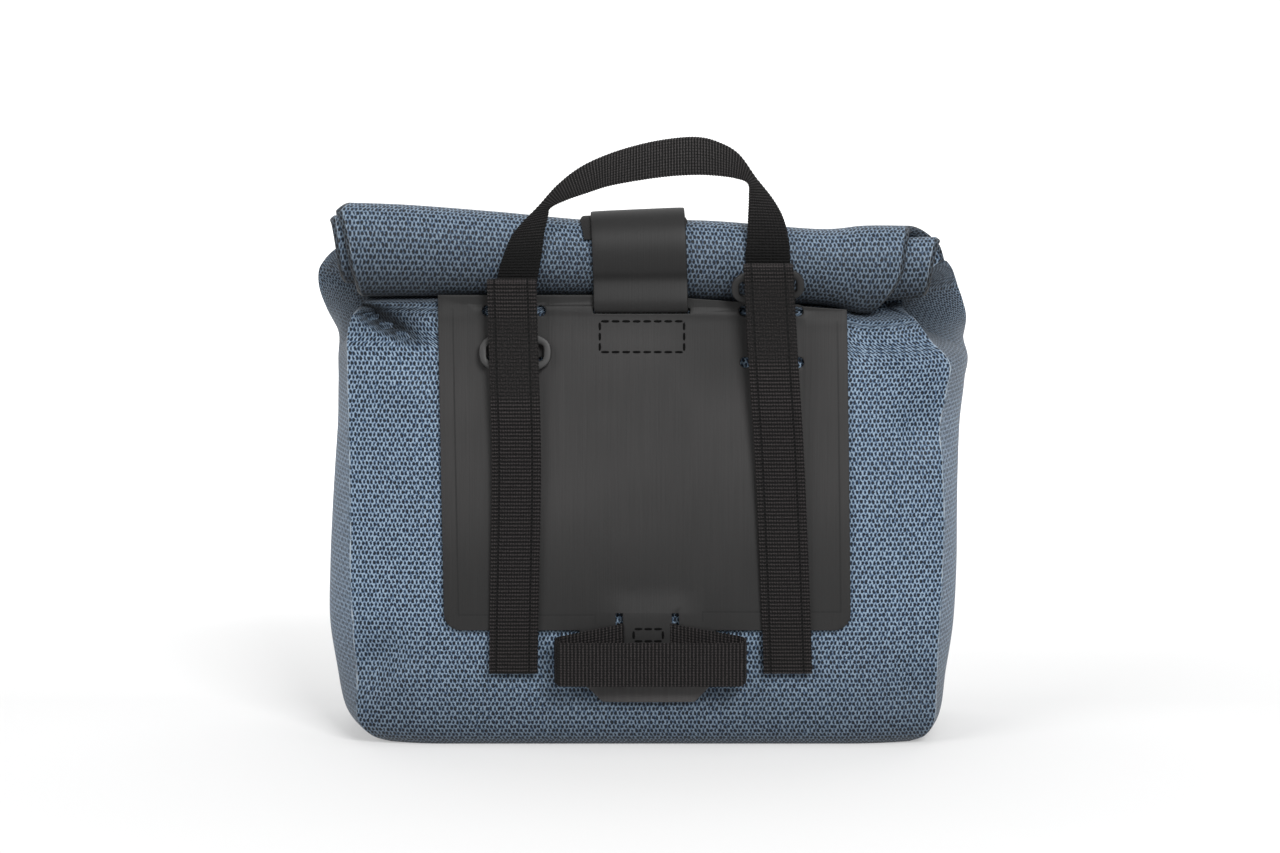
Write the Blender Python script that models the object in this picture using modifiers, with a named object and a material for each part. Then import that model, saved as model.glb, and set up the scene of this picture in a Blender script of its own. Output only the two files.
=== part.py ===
"""Bicycle pouch: a roll-top handlebar bag of coated cloth, standing on its base.

+X is to the right as seen from the side that faces the handlebar, -Y points to that side,
+Z is up, and the origin is the middle of the flat base. Lengths are in metres.
"""

import math

import bmesh
import bpy
import numpy as np

MM = 0.001

# Bag
BAG_WIDTH = 244 * MM  # between the two seams of the near wall
BAG_DEPTH = 104 * MM
BODY_HEIGHT = 185 * MM  # from the base to the underside of the roll
CLOTH = 1.2 * MM
SIDE_PUFF = 12 * MM  # how far a gusset stands out beyond its seams
TUCK = 36 * MM  # how far a gusset folds in at the mouth
NEAR_CROWN = 5 * MM  # how far the near wall falls back at its seams
FAR_CROWN = 11 * MM  # how far the far wall falls back at its seams

# Roll at the mouth
ROLL_DEPTH = 25 * MM
ROLL_HEIGHT = 34 * MM
ROLL_SET_BACK = 33.5 * MM  # middle of the roll, from the bag's middle towards the near side
ROLL_TURNS = 1.72
ROLL_SQUARENESS = 2.3  # power of a wrap's superellipse, 2 is an ellipse
ROLL_PITCH = 4.6 * MM  # from one wrap to the next
MOUTH_SLOT = 1.2 * MM  # between the two cloths of the mouth
ROLL_CLEARANCE = 1.2 * MM  # between the roll and the near wall under it

# Mounting panel
PANEL_WIDTH = 167 * MM
PANEL_BOTTOM = 49.5 * MM
PANEL_TOP = BODY_HEIGHT + 2 * MM
PANEL_SLANT = 6 * MM  # fall of the top edge from its middle to its right end
PANEL_LEAN = 0.0155  # sideways shift for its height, its top to the left
PANEL_THICKNESS = 1.4 * MM
PANEL_GAP = 0.8 * MM  # between the panel and the near wall
PANEL_CORNER = 7 * MM
TAB_WIDTH = 56 * MM
TAB_BOTTOM = 20 * MM
TAB_CHAMFER = 9 * MM
FIT_GAP = 0.5 * MM  # between cloth pieces that lie on each other

# Slots in the panel
SLOT_LENGTH = 26 * MM
SLOT_HEIGHT = 2.8 * MM
SLOT_EYE = 4.4 * MM  # diameter of the round ends
UPPER_SLOT_Z = BODY_HEIGHT - 4.5 * MM
LOWER_SLOT_Z = UPPER_SLOT_Z - 21 * MM
TAB_SLOT_SPREAD = 23 * MM
TAB_SLOT_WIDTH = 2.8 * MM
TAB_SLOT_BOTTOM = 27 * MM
TAB_SLOT_TOP = 56.8 * MM

# Closing tab and its loop patch
FLAP_WIDTH = 38.4 * MM
FLAP_THICKNESS = 1.2 * MM
FLAP_SLIT_Z = BODY_HEIGHT - 4.5 * MM
FLAP_SHIFT = -0.4 * MM  # of its middle from the panel's
FLAP_STANDOFF = 3.3 * MM  # above the roll, where the patch lies
FLAP_LEAN = 1.7 * MM  # to the left, and down at its left edge
FLAP_FIRST_TURN = 0.56  # of the roll, where the tab meets it
FLAP_LAST_TURN = 0.08  # where it leaves the roll
FLAP_LIFT = 0.3  # turns over which it rises to its standoff
FLAP_REACH = 13 * MM  # depth at which its end lies on the far wall
PATCH_WIDTH = 44 * MM
PATCH_THICKNESS = 1.2 * MM
PATCH_GAP = 0.6 * MM  # between the roll and the patch
PATCH_SHIFT = 4.6 * MM  # to the left of the tab's middle
PATCH_TURNS = (0.42, 0.20)  # of the roll, at its lower and upper edge
PATCH_EASE = 1.8 * MM  # by which its lower and upper edge are shorter at each end

# Webbing
HANDLE_THICKNESS = 1.4 * MM
HANDLE_RISE = 32 * MM  # from the roll's top to the highest edge of the handle
HANDLE_SPAN = 119 * MM  # over both legs
SLOT_SPREAD = HANDLE_SPAN - 14 * MM  # between the left and the right pair of strap slots
STRAP_WIDTH = 20 * MM
STRAP_THICKNESS = 1.5 * MM
STRAP_END_Z = 32 * MM
LEFT_FOLD_RADIUS = 1.6 * MM  # of the strap's middle
LEFT_FOLD_Z = BODY_HEIGHT + 9 * MM
RIGHT_FOLD_Z = BODY_HEIGHT + 15.5 * MM
LOOP_LEFT = 36.5 * MM  # ends of the lower strap's flattened loop, from the bag's middle
LOOP_RIGHT = 41 * MM
LOOP_DEPTH = 9 * MM
LOOP_BAND = 18 * MM  # width of its band
LOOP_DROOP = 6 * MM  # fall of the band from its slots to its front
LOOP_END_DROOP = 0.7  # share of that fall at its ends
LOOP_THICKNESS = 1.2 * MM
STRAP_SLACK = 4  # power by which a front ply falls back to the panel below its fold

# Rings
RING_WIDTH = 29.5 * MM
RING_HEIGHT = 16.5 * MM
RING_THICKNESS = 1.8 * MM
RING_SQUARENESS = 2.6  # power of its outline's superellipse
RING_EDGE = 0.36 * MM  # chamfer
RING_HOLE_WIDTH = 23 * MM
RING_HOLE_HEIGHT = 7.6 * MM
RING_HOLE_CORNER = 1.5 * MM
RING_RAISE = 4.3 * MM  # of the left ring's middle above its slot
RING_LEAN = 29  # degrees, of the right ring towards the viewer
RING_ROLL = 4  # degrees, its right end up

# Sections of the bag, from the base to the mouth. z and far_z are shares of BODY_HEIGHT,
# near and far are places in depth as shares of BAG_DEPTH, the four seam columns are shares of
# half of BAG_WIDTH, the two puffs are shares of SIDE_PUFF, tuck is a share of TUCK, and follow
# says how much of the roll's rise and fall along the bag the section takes.
SECTION_COLUMNS = (
    "z", "near", "far_z", "far",
    "left_near", "right_near", "left_far", "right_far",
    "left_puff", "right_puff", "tuck", "follow",
)
SECTIONS = (
    (0.000, -0.385, 0.000, 0.385, 0.87, 0.905, 0.87, 0.905, 0.45, 0.40, 0.00, 0.0),
    (0.020, -0.440, 0.020, 0.445, 0.93, 0.955, 0.93, 0.955, 0.60, 0.50, 0.00, 0.0),
    (0.060, -0.470, 0.060, 0.475, 0.975, 0.985, 0.965, 0.985, 0.75, 0.50, 0.00, 0.0),
    (0.140, -0.478, 0.140, 0.492, 0.975, 0.99, 0.975, 0.99, 1.00, 0.62, 0.00, 0.0),
    (0.250, -0.476, 0.250, 0.505, 0.985, 0.995, 0.985, 0.99, 1.15, 0.85, 0.00, 0.0),
    (0.380, -0.470, 0.380, 0.515, 0.995, 1.005, 0.99, 1.00, 1.05, 0.85, 0.00, 0.0),
    (0.500, -0.464, 0.500, 0.518, 0.993, 1.010, 0.995, 1.005, 0.95, 0.80, 0.00, 0.0),
    (0.610, -0.456, 0.610, 0.508, 0.995, 1.005, 1.00, 1.02, 0.80, 0.78, 0.00, 0.0),
    (0.710, -0.446, 0.715, 0.482, 0.997, 0.995, 1.01, 1.05, 0.62, 0.75, 0.00, 0.0),
    (0.800, -0.436, 0.810, 0.432, 1.000, 1.015, 1.045, 1.095, 0.45, 0.60, 0.02, 0.1),
    (0.865, -0.428, 0.885, 0.355, 1.000, 1.025, 1.075, 1.125, 0.32, 0.48, 0.06, 0.3),
    (0.920, -0.420, 0.950, 0.262, 1.000, 0.965, 1.120, 1.135, 0.20, 0.20, 0.35, 0.6),
    (0.960, -0.414, 1.000, 0.165, 0.985, 0.930, 1.140, 1.115, 0.20, 0.10, 0.65, 0.8),
    (0.990, -0.404, 1.040, 0.070, 0.955, 0.905, 1.135, 1.091, 0.10, 0.10, 0.80, 1.0),
    (1.001, -0.330, 1.065, -0.015, 0.940, 0.885, 1.110, 1.073, 0.10, 0.10, 0.70, 1.0),
    (1.014, -0.256, 1.086, -0.095, 0.950, 0.875, 1.078, 1.055, 0.10, 0.10, 0.42, 1.0),
    (1.044, -0.224, 1.104, -0.170, 0.970, 0.880, 1.040, 1.031, 0.10, 0.10, 0.16, 1.0),
)

# Along the bag, from its left to its right end: the roll's rise and its height, as shares of
# ROLL_HEIGHT, at shares of half of BAG_WIDTH.
RUN_COLUMNS = ("x", "rise", "height")
RUN = (
    (-1.00, 0.05, 1.13),
    (-0.80, 0.04, 1.10),
    (-0.50, 0.00, 1.02),
    (-0.15, -0.05, 0.91),
    (0.20, -0.08, 0.97),
    (0.58, -0.15, 0.91),
    (0.74, -0.19, 1.06),
    (0.90, -0.17, 1.02),
    (1.00, -0.14, 0.95),
)

# Ends of the wraps, round the roll from where the mouth comes up behind it: turn in whole
# turns, left and right as shares of half of BAG_WIDTH.
WRAP_COLUMNS = ("turn", "left", "right")
WRAPS = (
    (0.00, 1.027, 1.010),
    (0.08, 1.030, 0.990),
    (0.17, 1.030, 0.935),
    (0.25, 0.985, 0.875),
    (0.33, 1.015, 0.870),
    (0.42, 0.995, 0.860),
    (0.50, 0.980, 0.850),
    (0.62, 0.955, 0.790),
    (0.75, 0.950, 0.740),
    (1.00, 0.985, 0.830),
    (1.25, 1.045, 0.980),
    (1.50, 1.020, 0.950),
    (1.75, 1.000, 0.930),
)

# Folds and dents of the near wall: place and size as shares of half of BAG_WIDTH across and of
# BODY_HEIGHT up, turn in degrees, and height outwards as a share of SIDE_PUFF.
DENT_COLUMNS = ("x", "z", "length", "breadth", "turn", "height")
DENTS = (
    (-0.86, 0.955, 0.14, 0.030, 0, 0.42),
    (-0.90, 0.880, 0.16, 0.026, -28, -0.40),
    (-0.84, 0.815, 0.14, 0.035, -25, 0.25),
    (-0.90, 0.200, 0.10, 0.050, 50, -0.45),
    (0.86, 0.900, 0.14, 0.040, -50, 0.35),
    (0.92, 0.720, 0.08, 0.060, -60, -0.40),
    (0.90, 0.140, 0.10, 0.050, -40, -0.20),
)

# The handle's two edges from the left leg over the top to the right leg: x as a share of half
# of HANDLE_SPAN, z as a share of HANDLE_RISE above the roll's top, and y, the distance back
# from the front of the roll, as a share of ROLL_DEPTH.
HANDLE_COLUMNS = ("out_x", "out_z", "in_x", "in_z", "out_y", "in_y")
HANDLE = (
    (-1.000, -0.700, -0.725, -0.700, 0.00, 0.00),
    (-0.965, -0.480, -0.703, -0.460, 0.00, 0.00),
    (-0.910, -0.245, -0.685, -0.210, 0.02, 0.00),
    (-0.830, -0.065, -0.660, 0.010, 0.08, 0.02),
    (-0.730, 0.120, -0.645, 0.110, 0.15, 0.05),
    (-0.600, 0.390, -0.540, 0.205, 0.26, 0.08),
    (-0.440, 0.620, -0.390, 0.300, 0.34, 0.10),
    (-0.240, 0.790, -0.240, 0.386, 0.40, 0.14),
    (-0.020, 0.912, -0.020, 0.460, 0.42, 0.16),
    (0.180, 0.980, 0.180, 0.507, 0.42, 0.16),
    (0.360, 1.000, 0.360, 0.523, 0.38, 0.14),
    (0.500, 0.940, 0.500, 0.511, 0.34, 0.12),
    (0.640, 0.790, 0.620, 0.480, 0.28, 0.09),
    (0.760, 0.480, 0.703, 0.420, 0.22, 0.06),
    (0.870, 0.230, 0.709, 0.250, 0.14, 0.03),
    (0.945, -0.015, 0.703, 0.000, 0.07, 0.01),
    (0.985, -0.310, 0.696, -0.300, 0.02, 0.00),
    (0.995, -0.580, 0.687, -0.580, 0.00, 0.00),
)

# Sideways drift of the hanging straps: z as a share of the strap's fold height, and the middle's
# distance from its slot as a share of STRAP_WIDTH.
DRIFT_COLUMNS = ("z", "left", "right")
DRIFT = (
    (0.00, -0.10, 0.36),
    (0.25, -0.06, 0.28),
    (0.60, 0.01, 0.12),
    (0.80, -0.03, -0.02),
    (1.00, -0.08, -0.14),
)

FACE_POINTS = 15  # across the near or far wall
MARGIN_POINTS = 4  # of them beyond each side of the panel
GUSSET_POINTS = 5  # across a gusset, without its seams
SECTION_STEPS = 2  # rings to each row of SECTIONS
WRAP_STEPS = 12  # rings to a turn of the roll
STRAP_STEPS = 13  # rows down the front ply of a strap
FLAP_STEPS = 13  # rows of the closing tab over the roll
PATCH_STEPS = 6  # rows of the loop patch

PARTS_NAME = "bicycle_pouch"


def clear_scene():
    for thing in list(bpy.data.objects):
        bpy.data.objects.remove(thing, do_unlink=True)


def make_collection(name):
    collection = bpy.data.collections.new(name)
    bpy.context.scene.collection.children.link(collection)
    return collection


def make_material(name, colour, roughness, metallic=0.0):
    material = bpy.data.materials.new(name)
    material.use_nodes = True
    shader = material.node_tree.nodes["Principled BSDF"]
    shader.inputs["Base Color"].default_value = (*colour, 1.0)
    shader.inputs["Roughness"].default_value = roughness
    shader.inputs["Metallic"].default_value = metallic
    return material


def add_object(name, mesh, material, collection):
    thing = bpy.data.objects.new(name, mesh)
    mesh.materials.append(material)
    collection.objects.link(thing)
    return thing


def column(table, names, name):
    return np.array([row[names.index(name)] for row in table], dtype=float)


def spline(values, steps):
    """A Catmull-Rom curve through the values, with so many steps from one to the next."""
    ahead = np.concatenate([values[:1], values, values[-1:]])
    whole = np.repeat(np.arange(len(values) - 1), steps)
    t = np.tile(np.arange(steps) / steps, len(values) - 1)
    p0, p1, p2, p3 = (ahead[whole + offset] for offset in range(4))
    curve = p1 + 0.5 * t * (p2 - p0)
    curve += 0.5 * t**2 * (2 * p0 - 5 * p1 + 4 * p2 - p3)
    curve += 0.5 * t**3 * (3 * p1 - p0 - 3 * p2 + p3)
    return np.append(curve, values[-1])


def run_rise(x):
    """How far the roll's middle stands above its nominal height at this place along the bag."""
    share = np.asarray(x) / (BAG_WIDTH / 2)
    return ROLL_HEIGHT * np.interp(share, column(RUN, RUN_COLUMNS, "x"), column(RUN, RUN_COLUMNS, "rise"))


def run_height(x):
    """The roll's height at this place along the bag."""
    share = np.asarray(x) / (BAG_WIDTH / 2)
    heights = column(RUN, RUN_COLUMNS, "height")
    return ROLL_HEIGHT * np.interp(share, column(RUN, RUN_COLUMNS, "x"), heights)


def under_roll_rise(x):
    """How far the roll's underside stands above its nominal height."""
    return run_rise(x) - (run_height(x) - ROLL_HEIGHT) / 2


def roll_middle_z():
    return BODY_HEIGHT + ROLL_CLEARANCE + ROLL_HEIGHT / 2 - ROLL_PITCH / 4


def section_values():
    """Each column of SECTIONS as a smooth run of values, in metres where it is a length."""
    scale = {
        "z": BODY_HEIGHT, "far_z": BODY_HEIGHT, "near": BAG_DEPTH, "far": BAG_DEPTH,
        "left_near": BAG_WIDTH / 2, "right_near": BAG_WIDTH / 2,
        "left_far": BAG_WIDTH / 2, "right_far": BAG_WIDTH / 2,
        "left_puff": SIDE_PUFF, "right_puff": SIDE_PUFF, "tuck": TUCK, "follow": 1.0,
    }
    return {
        name: spline(column(SECTIONS, SECTION_COLUMNS, name), SECTION_STEPS) * scale[name]
        for name in SECTION_COLUMNS
    }


def wall_y(x, z):
    """Depth of the near wall's flat middle at a height: the pieces on the panel follow it."""
    rows = section_values()
    up = rows["z"] < BODY_HEIGHT * 0.992
    heights = rows["z"][up] + rows["follow"][up] * under_roll_rise(x)
    return float(np.interp(z, heights, rows["near"][up]))


def roll_point(turn, out):
    """Depth and height of a point of the roll: turns from its far side over its top, and a
    distance out from the middle of the mouth's two cloths. A wrap is a superellipse that
    draws in by ROLL_PITCH a turn, and has the roll's depth where it faces the viewer."""
    power = 2 / ROLL_SQUARENESS
    half = CLOTH + MOUTH_SLOT / 2
    angle = 2 * math.pi * turn
    c, s = np.cos(angle), np.sin(angle)
    deep = ROLL_DEPTH / 2 - half - ROLL_PITCH * (turn - 0.5) + out
    high = ROLL_HEIGHT / 2 - half - ROLL_PITCH * (turn - 0.5) + out
    y = -ROLL_SET_BACK + deep * np.sign(c) * np.abs(c) ** power
    z = high * np.sign(s) * np.abs(s) ** power
    return y, roll_middle_z() + z


def carried_z(z, x):
    """The height that a point of the nominal roll has at a place along the bag."""
    middle = roll_middle_z()
    return middle + run_rise(x) + (z - middle) * run_height(x) / ROLL_HEIGHT


def profile_normals(y, z, side):
    """Unit normals of a profile in depth and height, to the bag's inside: side is 1 for the
    near wall and -1 for the far wall."""
    dy, dz = np.gradient(y), np.gradient(z)
    length = np.hypot(dy, dz)
    return side * dz / length, -side * dy / length


def dent_height(x, z):
    """How far the near wall's folds and dents move it outwards."""
    across, up = x / (BAG_WIDTH / 2), z / BODY_HEIGHT
    total = np.zeros_like(across)
    for dent in DENTS:
        row = dict(zip(DENT_COLUMNS, dent))
        turn = math.radians(row["turn"])
        along = (across - row["x"]) * math.cos(turn) + (up - row["z"]) * math.sin(turn)
        beside = (up - row["z"]) * math.cos(turn) - (across - row["x"]) * math.sin(turn)
        total += row["height"] * np.exp(-((along / row["length"]) ** 2) - (beside / row["breadth"]) ** 2)
    beyond_panel = np.clip((np.abs(x) - PANEL_WIDTH / 2) / (BAG_WIDTH / 8), 0, 1)
    return SIDE_PUFF * total * beyond_panel


def bag_rings(inset):
    """The bag's rings from the base to the mouth, each from the near left seam round to the
    left gusset again, moved inwards by the inset."""
    rows = section_values()
    near_y, near_z = rows["near"].copy(), rows["z"].copy()
    far_y, far_z = rows["far"].copy(), rows["far_z"].copy()
    turns = np.arange(1, int(ROLL_TURNS * WRAP_STEPS) + 1) / WRAP_STEPS
    half = CLOTH + MOUTH_SLOT / 2
    inner = np.array([roll_point(turn, -half) for turn in turns])
    outer = np.array([roll_point(turn, half) for turn in turns])
    near_y, near_z = np.append(near_y, inner[:, 0]), np.append(near_z, inner[:, 1])
    far_y, far_z = np.append(far_y, outer[:, 0]), np.append(far_z, outer[:, 1])
    body = len(rows["z"])
    spread = {}
    for name, wrap in (("left_near", "left"), ("right_near", "right"), ("left_far", "left"), ("right_far", "right")):
        ends = np.interp(turns, column(WRAPS, WRAP_COLUMNS, "turn"), column(WRAPS, WRAP_COLUMNS, wrap))
        spread[name] = np.append(rows[name], ends * BAG_WIDTH / 2)
    rest = np.zeros(len(turns))
    puff = {side: np.append(rows[side], rest + half) for side in ("left_puff", "right_puff")}
    tuck = np.append(rows["tuck"], rest)
    follow = np.append(rows["follow"], rest + 1)

    gap = np.hypot(far_y - near_y, far_z - near_z) / 2
    fold = np.arctan2(gap, tuck)
    seam_inset, fold_inset = inset / np.tan(fold / 2), inset / np.sin(fold)
    normal = profile_normals(near_y, near_z, 1)
    near_y, near_z = near_y + inset * normal[0], near_z + inset * normal[1]
    normal = profile_normals(far_y, far_z, -1)
    far_y, far_z = far_y + inset * normal[0], far_z + inset * normal[1]
    near_z[0] = far_z[0] = inset
    near_y[0] += inset
    far_y[0] -= inset

    flat = PANEL_WIDTH / BAG_WIDTH
    margin = np.linspace(flat, 1, MARGIN_POINTS + 1)[1:]
    middle = np.linspace(-flat, flat, FACE_POINTS - 2 * MARGIN_POINTS)
    sweep = np.concatenate([-margin[::-1], middle, margin])
    beyond = np.clip((np.abs(sweep) - flat) / (1 - flat), 0, 1)
    in_roll = np.arange(len(near_y)) >= body
    rings = []
    for k in range(len(near_y)):
        near_end = np.where(sweep < 0, spread["left_near"][k], spread["right_near"][k])
        far_end = np.where(sweep < 0, spread["left_far"][k], spread["right_far"][k])
        x_near = sweep * BAG_WIDTH / 2
        x_far = x_near + np.sign(sweep) * beyond * (far_end - BAG_WIDTH / 2 - seam_inset[k])
        x_near += np.sign(sweep) * beyond * (near_end - BAG_WIDTH / 2 - seam_inset[k])
        y_near, z_near = fall_along(near_y[k], near_z[k], x_near, follow[k], in_roll[k], under_roll_rise)
        y_far, z_far = fall_along(far_y[k], far_z[k], x_far, follow[k], in_roll[k], run_rise)
        if not in_roll[k]:
            fade = 1 - follow[k]
            y_near = y_near + NEAR_CROWN * fade * beyond**2 - dent_height(x_near, z_near)
            y_far = y_far - FAR_CROWN * fade * sweep**2
        near = np.stack([x_near, y_near, z_near], 1)
        far = np.stack([x_far, y_far, z_far], 1)
        across = np.arange(1, GUSSET_POINTS + 1)[:, None] / (GUSSET_POINTS + 1)
        folded = tuck[k] * (1 - np.abs(2 * across - 1))
        rise = np.sin(math.pi * across)
        inward = (fold_inset[k] - seam_inset[k]) * (1 - np.abs(2 * across - 1))
        right = near[-1] * (1 - across) + far[-1] * across
        right[:, :1] += puff["right_puff"][k] * rise - folded - inward
        left = far[0] * (1 - across) + near[0] * across
        left[:, :1] -= puff["left_puff"][k] * rise - folded - inward
        rings.append(np.concatenate([near, right, far[::-1], left]))
    return np.array(rings)


def fall_along(y, z, x, follow, in_roll, rise):
    """A point of the section carried along the bag: above the body it follows the roll."""
    if not in_roll:
        return np.full_like(x, y), z + follow * rise(x)
    return np.full_like(x, y), carried_z(z, x)


def base_faces(start):
    """Faces that close a ring's lowest section, looking down."""
    right_end = FACE_POINTS - 1
    far_start = right_end + GUSSET_POINTS + 1
    ring = 2 * (FACE_POINTS + GUSSET_POINTS)
    faces = []
    for i in range(right_end):
        far = far_start + right_end - i
        faces.append((start + i, start + far, start + far - 1, start + i + 1))
    faces.append(tuple(start + i for i in range(far_start, right_end - 1, -1)))
    left = [start] + [start + i for i in range(ring - 1, far_start + right_end - 1, -1)]
    faces.append(tuple(left))
    return faces


def bag_shell(material, collection):
    outer, inner = bag_rings(0.0), bag_rings(CLOTH)
    count, ring = outer.shape[:2]
    points = np.concatenate([outer.reshape(-1, 3), inner.reshape(-1, 3)])
    shift = count * ring
    faces = base_faces(0)
    faces += [face[::-1] for face in base_faces(shift)]
    for k in range(count - 1):
        for i in range(ring):
            j = (i + 1) % ring
            low, high = k * ring, (k + 1) * ring
            faces.append((low + i, low + j, high + j, high + i))
            faces.append((shift + low + i, shift + high + i, shift + high + j, shift + low + j))
    top = (count - 1) * ring
    for i in range(ring):
        j = (i + 1) % ring
        faces.append((top + i, top + j, shift + top + j, shift + top + i))
    mesh = bpy.data.meshes.new("bag_shell")
    mesh.from_pydata(points.tolist(), [], faces)
    mesh.shade_smooth()
    mesh.set_sharp_from_angle(angle=math.radians(50))
    return add_object("bag_shell", mesh, material, collection)


def ribbon(name, left, right, thickness, material, collection, closed=False, across=1):
    """A band between two edges, each a list of points, thickened both ways."""
    left, right = np.array(left, dtype=float), np.array(right, dtype=float)
    shares = np.linspace(0, 1, across + 1)[:, None, None]
    grid = left + shares * (right - left)
    count = len(left)
    faces = []
    for lane in range(across):
        for k in range(count if closed else count - 1):
            step = (k + 1) % count
            a, b = lane * count, (lane + 1) * count
            faces.append((a + k, a + step, b + step, b + k))
    mesh = bpy.data.meshes.new(name)
    mesh.from_pydata(grid.reshape(-1, 3).tolist(), [], faces)
    mesh.shade_smooth()
    mesh.set_sharp_from_angle(angle=math.radians(50))
    thing = add_object(name, mesh, material, collection)
    solidify = thing.modifiers.new("thickness", "SOLIDIFY")
    solidify.thickness = thickness
    solidify.offset = 0
    solidify.use_even_offset = True
    return thing


def arc(middle, radius, start, end, steps):
    """Points of an arc in two dimensions, angles in degrees."""
    angles = np.radians(np.linspace(start, end, steps + 1))
    return [(middle[0] + radius * math.cos(a), middle[1] + radius * math.sin(a)) for a in angles]


def slot_outline(x, z, length, height, eye):
    """A level slot with round eyes at its ends, as a closed outline."""
    half, reach = length / 2 - eye / 2, math.degrees(math.asin(height / eye))
    right = arc((x + half, z), eye / 2, -180 + reach, 180 - reach, 8)
    left = arc((x - half, z), eye / 2, reach, 360 - reach, 8)
    return right + left


def rectangle(x0, z0, x1, z1):
    return [(x0, z0), (x1, z0), (x1, z1), (x0, z1)]


def panel_outline():
    half, tab = PANEL_WIDTH / 2, TAB_WIDTH / 2
    r = PANEL_CORNER
    points = [(0, PANEL_TOP), (-half, PANEL_TOP)]
    points += arc((-half + r, PANEL_BOTTOM + r), r, 180, 270, 5)
    points += [(-tab, PANEL_BOTTOM), (-tab, TAB_BOTTOM + TAB_CHAMFER)]
    points += [(-tab + TAB_CHAMFER, TAB_BOTTOM), (tab - TAB_CHAMFER, TAB_BOTTOM)]
    points += [(tab, TAB_BOTTOM + TAB_CHAMFER), (tab, PANEL_BOTTOM)]
    points += arc((half - r, PANEL_BOTTOM + r), r, 270, 360, 5)
    points += [(half, PANEL_TOP - PANEL_SLANT)]
    return points


def panel_shift(z):
    """How far the panel's lean moves it to the right at a height."""
    return PANEL_LEAN * ((PANEL_TOP + PANEL_BOTTOM) / 2 - z)


def panel_back_y(x, z):
    """Depth of the panel's back: it lies on the near wall, and bows out over the lower strap."""
    reach = TAB_SLOT_SPREAD
    across = np.clip((reach - abs(x)) / (reach - TAB_SLOT_SPREAD / 2), 0, 1)
    high = np.clip((TAB_SLOT_TOP + TAB_CHAMFER - z) / TAB_CHAMFER, 0, 1)
    bow = (LOOP_THICKNESS + 2 * FIT_GAP - PANEL_GAP) * across * high
    return wall_y(x, z) - PANEL_GAP - bow


def panel_front_y(x, z):
    return panel_back_y(x, z) - PANEL_THICKNESS


def flat_mesh(name, outlines, thickness):
    """A mesh of a flat outline with its holes, standing upright, its middle at depth zero."""
    curve = bpy.data.curves.new(name, "CURVE")
    curve.dimensions = "2D"
    curve.fill_mode = "BOTH"
    curve.extrude = thickness / 2
    for outline in outlines:
        line = curve.splines.new("POLY")
        line.points.add(len(outline) - 1)
        for point, (x, z) in zip(line.points, outline):
            point.co = (x, z, 0, 1)
        line.use_cyclic_u = True
    helper = bpy.data.objects.new(name + "_outline", curve)
    bpy.context.scene.collection.objects.link(helper)
    evaluated = helper.evaluated_get(bpy.context.evaluated_depsgraph_get())
    mesh = bpy.data.meshes.new_from_object(evaluated)
    bpy.data.objects.remove(helper, do_unlink=True)
    mesh.name = name
    shape = bmesh.new()
    shape.from_mesh(mesh)
    bmesh.ops.remove_doubles(shape, verts=shape.verts, dist=1e-6)
    bmesh.ops.triangulate(shape, faces=shape.faces)
    shape.normal_update()
    level = [face for face in shape.faces if abs(face.normal.z) > 0.9]
    inner = [edge for edge in shape.edges if all(face in level for face in edge.link_faces)]
    bmesh.ops.beautify_fill(shape, faces=level, edges=inner)
    for vert in shape.verts:
        x, z, y = vert.co
        vert.co = (x, -y, z)
    bmesh.ops.recalc_face_normals(shape, faces=shape.faces)
    if shape.calc_volume(signed=True) < 0:
        bmesh.ops.reverse_faces(shape, faces=shape.faces)
    shape.to_mesh(mesh)
    shape.free()
    return mesh


def cut_across(shape, axis, places):
    for place in places:
        normal = tuple(1.0 if i == axis else 0.0 for i in range(3))
        middle = tuple(place if i == axis else 0.0 for i in range(3))
        bmesh.ops.bisect_plane(
            shape, geom=shape.verts[:] + shape.edges[:] + shape.faces[:],
            dist=1e-7, plane_co=middle, plane_no=normal,
        )


def back_panel(material, collection):
    outlines = [panel_outline()]
    for side in (-1, 1):
        for z in (UPPER_SLOT_Z, LOWER_SLOT_Z):
            x = side * SLOT_SPREAD / 2
            outlines.append(slot_outline(x, z, SLOT_LENGTH, SLOT_HEIGHT, SLOT_EYE))
        x = side * TAB_SLOT_SPREAD / 2
        w = TAB_SLOT_WIDTH / 2
        outlines.append(rectangle(x - w, TAB_SLOT_BOTTOM, x + w, TAB_SLOT_TOP))
    half = FLAP_WIDTH / 2 + FIT_GAP
    high = FLAP_THICKNESS / 2 + FIT_GAP
    outlines.append(rectangle(FLAP_SHIFT - half, FLAP_SLIT_Z - high, FLAP_SHIFT + half, FLAP_SLIT_Z + high))
    mesh = flat_mesh("back_panel", outlines, PANEL_THICKNESS)
    shape = bmesh.new()
    shape.from_mesh(mesh)
    rows = section_values()["z"][2::3]
    cut_across(shape, 2, [z for z in rows if TAB_BOTTOM < z < UPPER_SLOT_Z])
    cut_across(shape, 0, [s * TAB_SLOT_SPREAD for s in (-1, 1)])
    cut_across(shape, 0, [s * PANEL_WIDTH / 5 for s in (-1, 1)])
    cut_across(shape, 2, [TAB_SLOT_TOP + TAB_CHAMFER])
    bmesh.ops.remove_doubles(shape, verts=shape.verts, dist=1e-4)
    for vert in shape.verts:
        vert.co.y += panel_back_y(vert.co.x, vert.co.z) - PANEL_THICKNESS / 2
        vert.co.x += panel_shift(vert.co.z)
    shape.to_mesh(mesh)
    shape.free()
    mesh.shade_smooth()
    mesh.set_sharp_from_angle(angle=math.radians(40))
    return add_object("back_panel", mesh, material, collection)


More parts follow.
